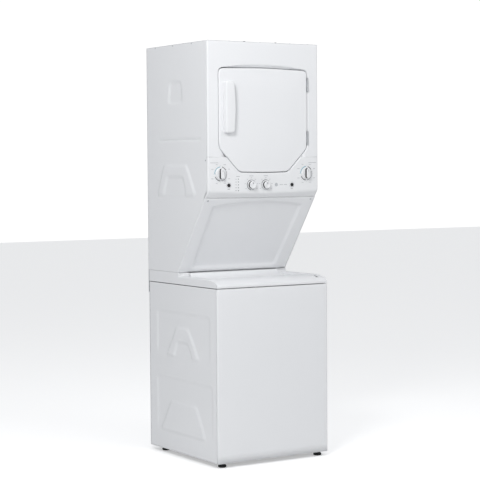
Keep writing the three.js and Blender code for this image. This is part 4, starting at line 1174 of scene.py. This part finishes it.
def add_back():
    washer_back = span("washer_rear_panel")[1].y
    dryer_back = span("dryer_rear_panel")[1].y
    ribs = [rib(x, 110, 640, washer_back) for x in (-90, 0, 90, 180)]
    add("washer_back_ribs", baked("washer_back_ribs", merged(ribs)), "cabinet", "zinc_steel")
    ribs = [rib(x, 1180, 1840, dryer_back, proud=2.2) for x in (-190, 190)]
    add("dryer_back_ribs", baked("dryer_back_ribs", merged(ribs)), "cabinet", "zinc_steel")
    vents = [louvre(x, x + 62, z, dryer_back) for x in (40, 120, 200) for z in np.arange(1010, 1110, 16.0)]
    add("dryer_back_louvres", baked("dryer_back_louvres", merged(vents)), "cabinet", "zinc_steel")
    heads = [((x, washer_back, z), (0, 1, 0)) for x in (-285, 285) for z in (60, 260, 460, 660, 780)]
    heads += [((x, washer_back, z), (0, 1, 0)) for x in (-140, 140) for z in (45, 745)]
    heads += [((x, dryer_back, z), (0, 1, 0)) for x in (-285, 285)
              for z in (900, 1100, 1300, 1500, 1700, 1895)]
    heads += [((x, dryer_back, 1895), (0, 1, 0)) for x in (-140, 0, 140)]
    add_screws("back_screws", heads, 4.4, "cabinet")

    low, high = span("terminal_cover")
    mid_x = middle("terminal_cover")[0]
    softened("terminal_cover", width=0.6, steps=3)
    heads = [((mid_x + dx, high.y, z), (0, 1, 0)) for dx in (-40, 40) for z in (low.z + 9, high.z - 9)]
    add_screws("terminal_cover_screws", heads, 3.6, "cabinet")
    plate = [(11, -0.4), (11, 1.6), (12.5, 2.4), (17, 2.4), (18.5, 1.2), (18.5, -0.4)]
    ring("cord_entry_grommet", "y", (mid_x, high.y, low.z + 34), plate, "cabinet", "rubber", None, 48)
    blank = [(0.05, -0.4), (11.2, -0.4), (11.2, 0.5), (0.05, 0.9)]
    turned("cord_entry_blank", "y", (mid_x, high.y, low.z + 34), blank, "cabinet", "black_plastic", None, 40)

    for x, ink, name in ((-235, RED_INK, "hot"), (-195, BLUE_INK, "cold")):
        collar = [(13.3, washer_back + 0.2), (13.3, washer_back + 2.2), (17.5, washer_back + 2.2),
                  (18.5, washer_back + 1.2), (18.5, washer_back - 0.3), (14, washer_back - 0.3)]
        ring(f"{name}_port_ring", "y", (x, 0, 715), collar, "cabinet", "grey_plastic", ink, 48)
        for k in range(3):
            y = washer_back + 3.4 + 1.9 * k
            thread = [(12.6, y - 0.7), (13.7, y), (12.6, y + 0.7)]
            ring(f"{name}_port_thread_{k + 1}", "y", (x, 0, 715), thread, "cabinet", "black_plastic",
                 steps=40)

    mid_x, _, mid_z = middle("exhaust_duct")
    end = span("exhaust_duct")[1].y
    bead = [(50.0, end - 8), (51.6, end - 7), (52.0, end - 5.5), (51.6, end - 4), (50.0, end - 3),
            (49.2, end - 3), (49.2, end - 8)]
    ring("exhaust_bead", "y", (mid_x, 0, mid_z), bead, "cabinet", "zinc_steel", None, 80)


# ---------------------------------------------------------------- feet


def add_feet():
    for node in sorted(n for n in frame["nodes"] if n.startswith("levelling_foot")):
        x, y, _ = middle(node)
        pad = [(0.05, 0.0), (15.5, 0.0), (17.8, 0.9), (19.0, 3.0), (19.0, 8.6), (17.8, 10.6), (14.5, 11.6),
               (13.4, 12.6)]

        def hexagon(turn, r, h):
            if not 12.9 < h < 20.7 or r < 10:
                return 1.0
            local = (turn % (math.pi / 3)) - math.pi / 6
            return math.cos(math.pi / 6) / math.cos(local)

        nut = [(13.4, 13.0), (13.4, 19.6), (12.8, 20.3), (4.7, 20.4)]
        thread_turns = 14
        stem = [(4.7, 21)]
        for k in range(thread_turns):
            h = 22 + 2.0 * k
            stem += [(4.15, h), (4.7, h + 1.0)]
        stem += [(4.2, 49.2), (3.6, 50.0), (0.05, 50.0)]
        turned(f"{node}_skin", "z", (x, y, 0), pad + nut + stem, body_of(node), "rubber", None, 72,
               replaces=(node,), wobble=hexagon)


# ---------------------------------------------------------------- everything else that CAD shapes


def add_carried_parts(done):
    """Eases the edges of every CAD part that no other section has replaced."""
    # The rear panels stay sharp: they are too thin for eased edges.
    widths = {"heater_housing": 0.8, "washer_motor": 1.6, "dryer_motor": 1.2, "gearcase": 1.6,
              "drain_pump": 1.2, "water_inlet_valve": 1.0, "drive_pulley": 0.8, "blower_housing": 0.7,
              "washer_rear_panel": 0.0, "dryer_rear_panel": 0.0}

    frame_skin = softened("base_frame", width=0.5)
    step_back = 2.2  # room for the rounded corners of the washer's front, which wraps this one
    for vertex in frame_skin.data.vertices:
        x, y = vertex.co.x / MM, (vertex.co.y - FRONT) / MM
        if y < 4:
            vertex.co.y += step_back * MM
            if abs(x) > HALF - 4:
                vertex.co.x -= math.copysign(step_back * MM, x)
    for node in sorted(frame["nodes"]):
        if node not in done and node != "base_frame":
            softened(node, width=widths.get(node, 0.4), steps=2)


def add_side_screws():
    heads = [((-HALF, 92, 1383), (-1, 0, 0)), ((HALF, 92, 1383), (1, 0, 0))]
    heads += [((side * HALF, y, 1914), (side, 0, 0)) for side in (-1, 1) for y in (210, 380, 545)]
    add_screws("side_screws", heads, 3.4, "cabinet")


# ---------------------------------------------------------------- studio


def add_studio():
    bpy.ops.mesh.primitive_plane_add(size=40, location=(0, 0, -0.0005))
    floor = bpy.context.object
    floor.name = "studio_floor"
    floor.data.materials.append(FLOOR)
    glow = FLOOR.node_tree.nodes["Principled BSDF"]
    glow.inputs["Emission Color"].default_value = (1, 1, 1, 1)
    path = FLOOR.node_tree.nodes.new("ShaderNodeLightPath")
    seen = FLOOR.node_tree.nodes.new("ShaderNodeMath")
    seen.operation = "MULTIPLY"
    seen.inputs[1].default_value = 0.4
    FLOOR.node_tree.links.new(path.outputs["Is Camera Ray"], seen.inputs[0])
    FLOOR.node_tree.links.new(seen.outputs["Value"], glow.inputs["Emission Strength"])

    scene = bpy.context.scene
    world = bpy.data.worlds.new("studio")
    world.use_nodes = True
    nodes, links = world.node_tree.nodes, world.node_tree.links
    background = nodes["Background"]
    background.inputs["Color"].default_value = (0.95, 0.97, 1.0, 1)
    background.inputs["Strength"].default_value = 0.46
    seen = nodes.new("ShaderNodeBackground")
    seen.inputs["Color"].default_value = (1, 1, 1, 1)
    seen.inputs["Strength"].default_value = 1.05
    path = nodes.new("ShaderNodeLightPath")
    mix = nodes.new("ShaderNodeMixShader")
    links.new(path.outputs["Is Camera Ray"], mix.inputs["Fac"])
    links.new(background.outputs["Background"], mix.inputs[1])
    links.new(seen.outputs["Background"], mix.inputs[2])
    links.new(mix.outputs["Shader"], nodes["World Output"].inputs["Surface"])
    scene.world = world
    scene.view_settings.view_transform = "Standard"

    def soft_box(name, spot, target, size, power, colour=(1, 1, 1)):
        light = bpy.data.lights.new(name, "AREA")
        light.shape = "RECTANGLE"
        light.size, light.size_y = size
        light.energy = power
        light.color = colour
        lamp = bpy.data.objects.new(name, light)
        scene.collection.objects.link(lamp)
        lamp.location = spot
        lamp.rotation_euler = (Vector(target) - Vector(spot)).to_track_quat("-Z", "Y").to_euler()

    soft_box("key", (0.9, -3.0, 3.2), (0, -0.2, 1.5), (2.2, 1.6), 22)
    soft_box("left_key", (-2.3, -2.2, 3.0), (-0.3, 0, 1.6), (0.9, 0.9), 52)
    soft_box("top", (0, 0.2, 4.2), (0, 0, 1.0), (3.0, 3.0), 16)

    # The camera stands to the left of the machine, level with the controls.
    yaw, pitch, roll = math.radians(32.19), math.radians(-3.08), math.radians(-0.37)
    ahead = Vector((math.sin(yaw) * math.cos(pitch), math.cos(yaw) * math.cos(pitch), math.sin(pitch)))
    right = ahead.cross(Vector((0, 0, 1))).normalized()
    up = right.cross(ahead)
    tilted_right = right * math.cos(roll) + up * math.sin(roll)
    tilted_up = up * math.cos(roll) - right * math.sin(roll)
    turn = Matrix((tilted_right, tilted_up, -ahead)).transposed().to_4x4()
    lens = bpy.data.cameras.new("camera")
    lens.lens = 110.2
    lens.sensor_width = 36.0
    lens.clip_end = 60.0
    camera = bpy.data.objects.new("camera", lens)
    scene.collection.objects.link(camera)
    camera.matrix_world = Matrix.Translation(place(-3838, -5811, 1350)) @ turn
    scene.camera = camera


# ---------------------------------------------------------------- the machine

add_studio()
add_washer_sides()
add_dryer_sides()
add_dryer_front()
add_top_panel()
add_control_panel()
add_scales()
add_big_knobs()
add_small_knobs()
add_buttons()
add_door()
add_door_liner()
add_handle()
add_seal()
add_service_panel()
add_washer_front()
add_cover_and_lid()
add_basket_detail()
add_agitator()
add_drum_detail()
add_lint_filter()
add_back()
add_feet()
add_side_screws()
replaced = {node for piece in bpy.data.objects for node in piece.get("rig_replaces", [])}
add_carried_parts(replaced)
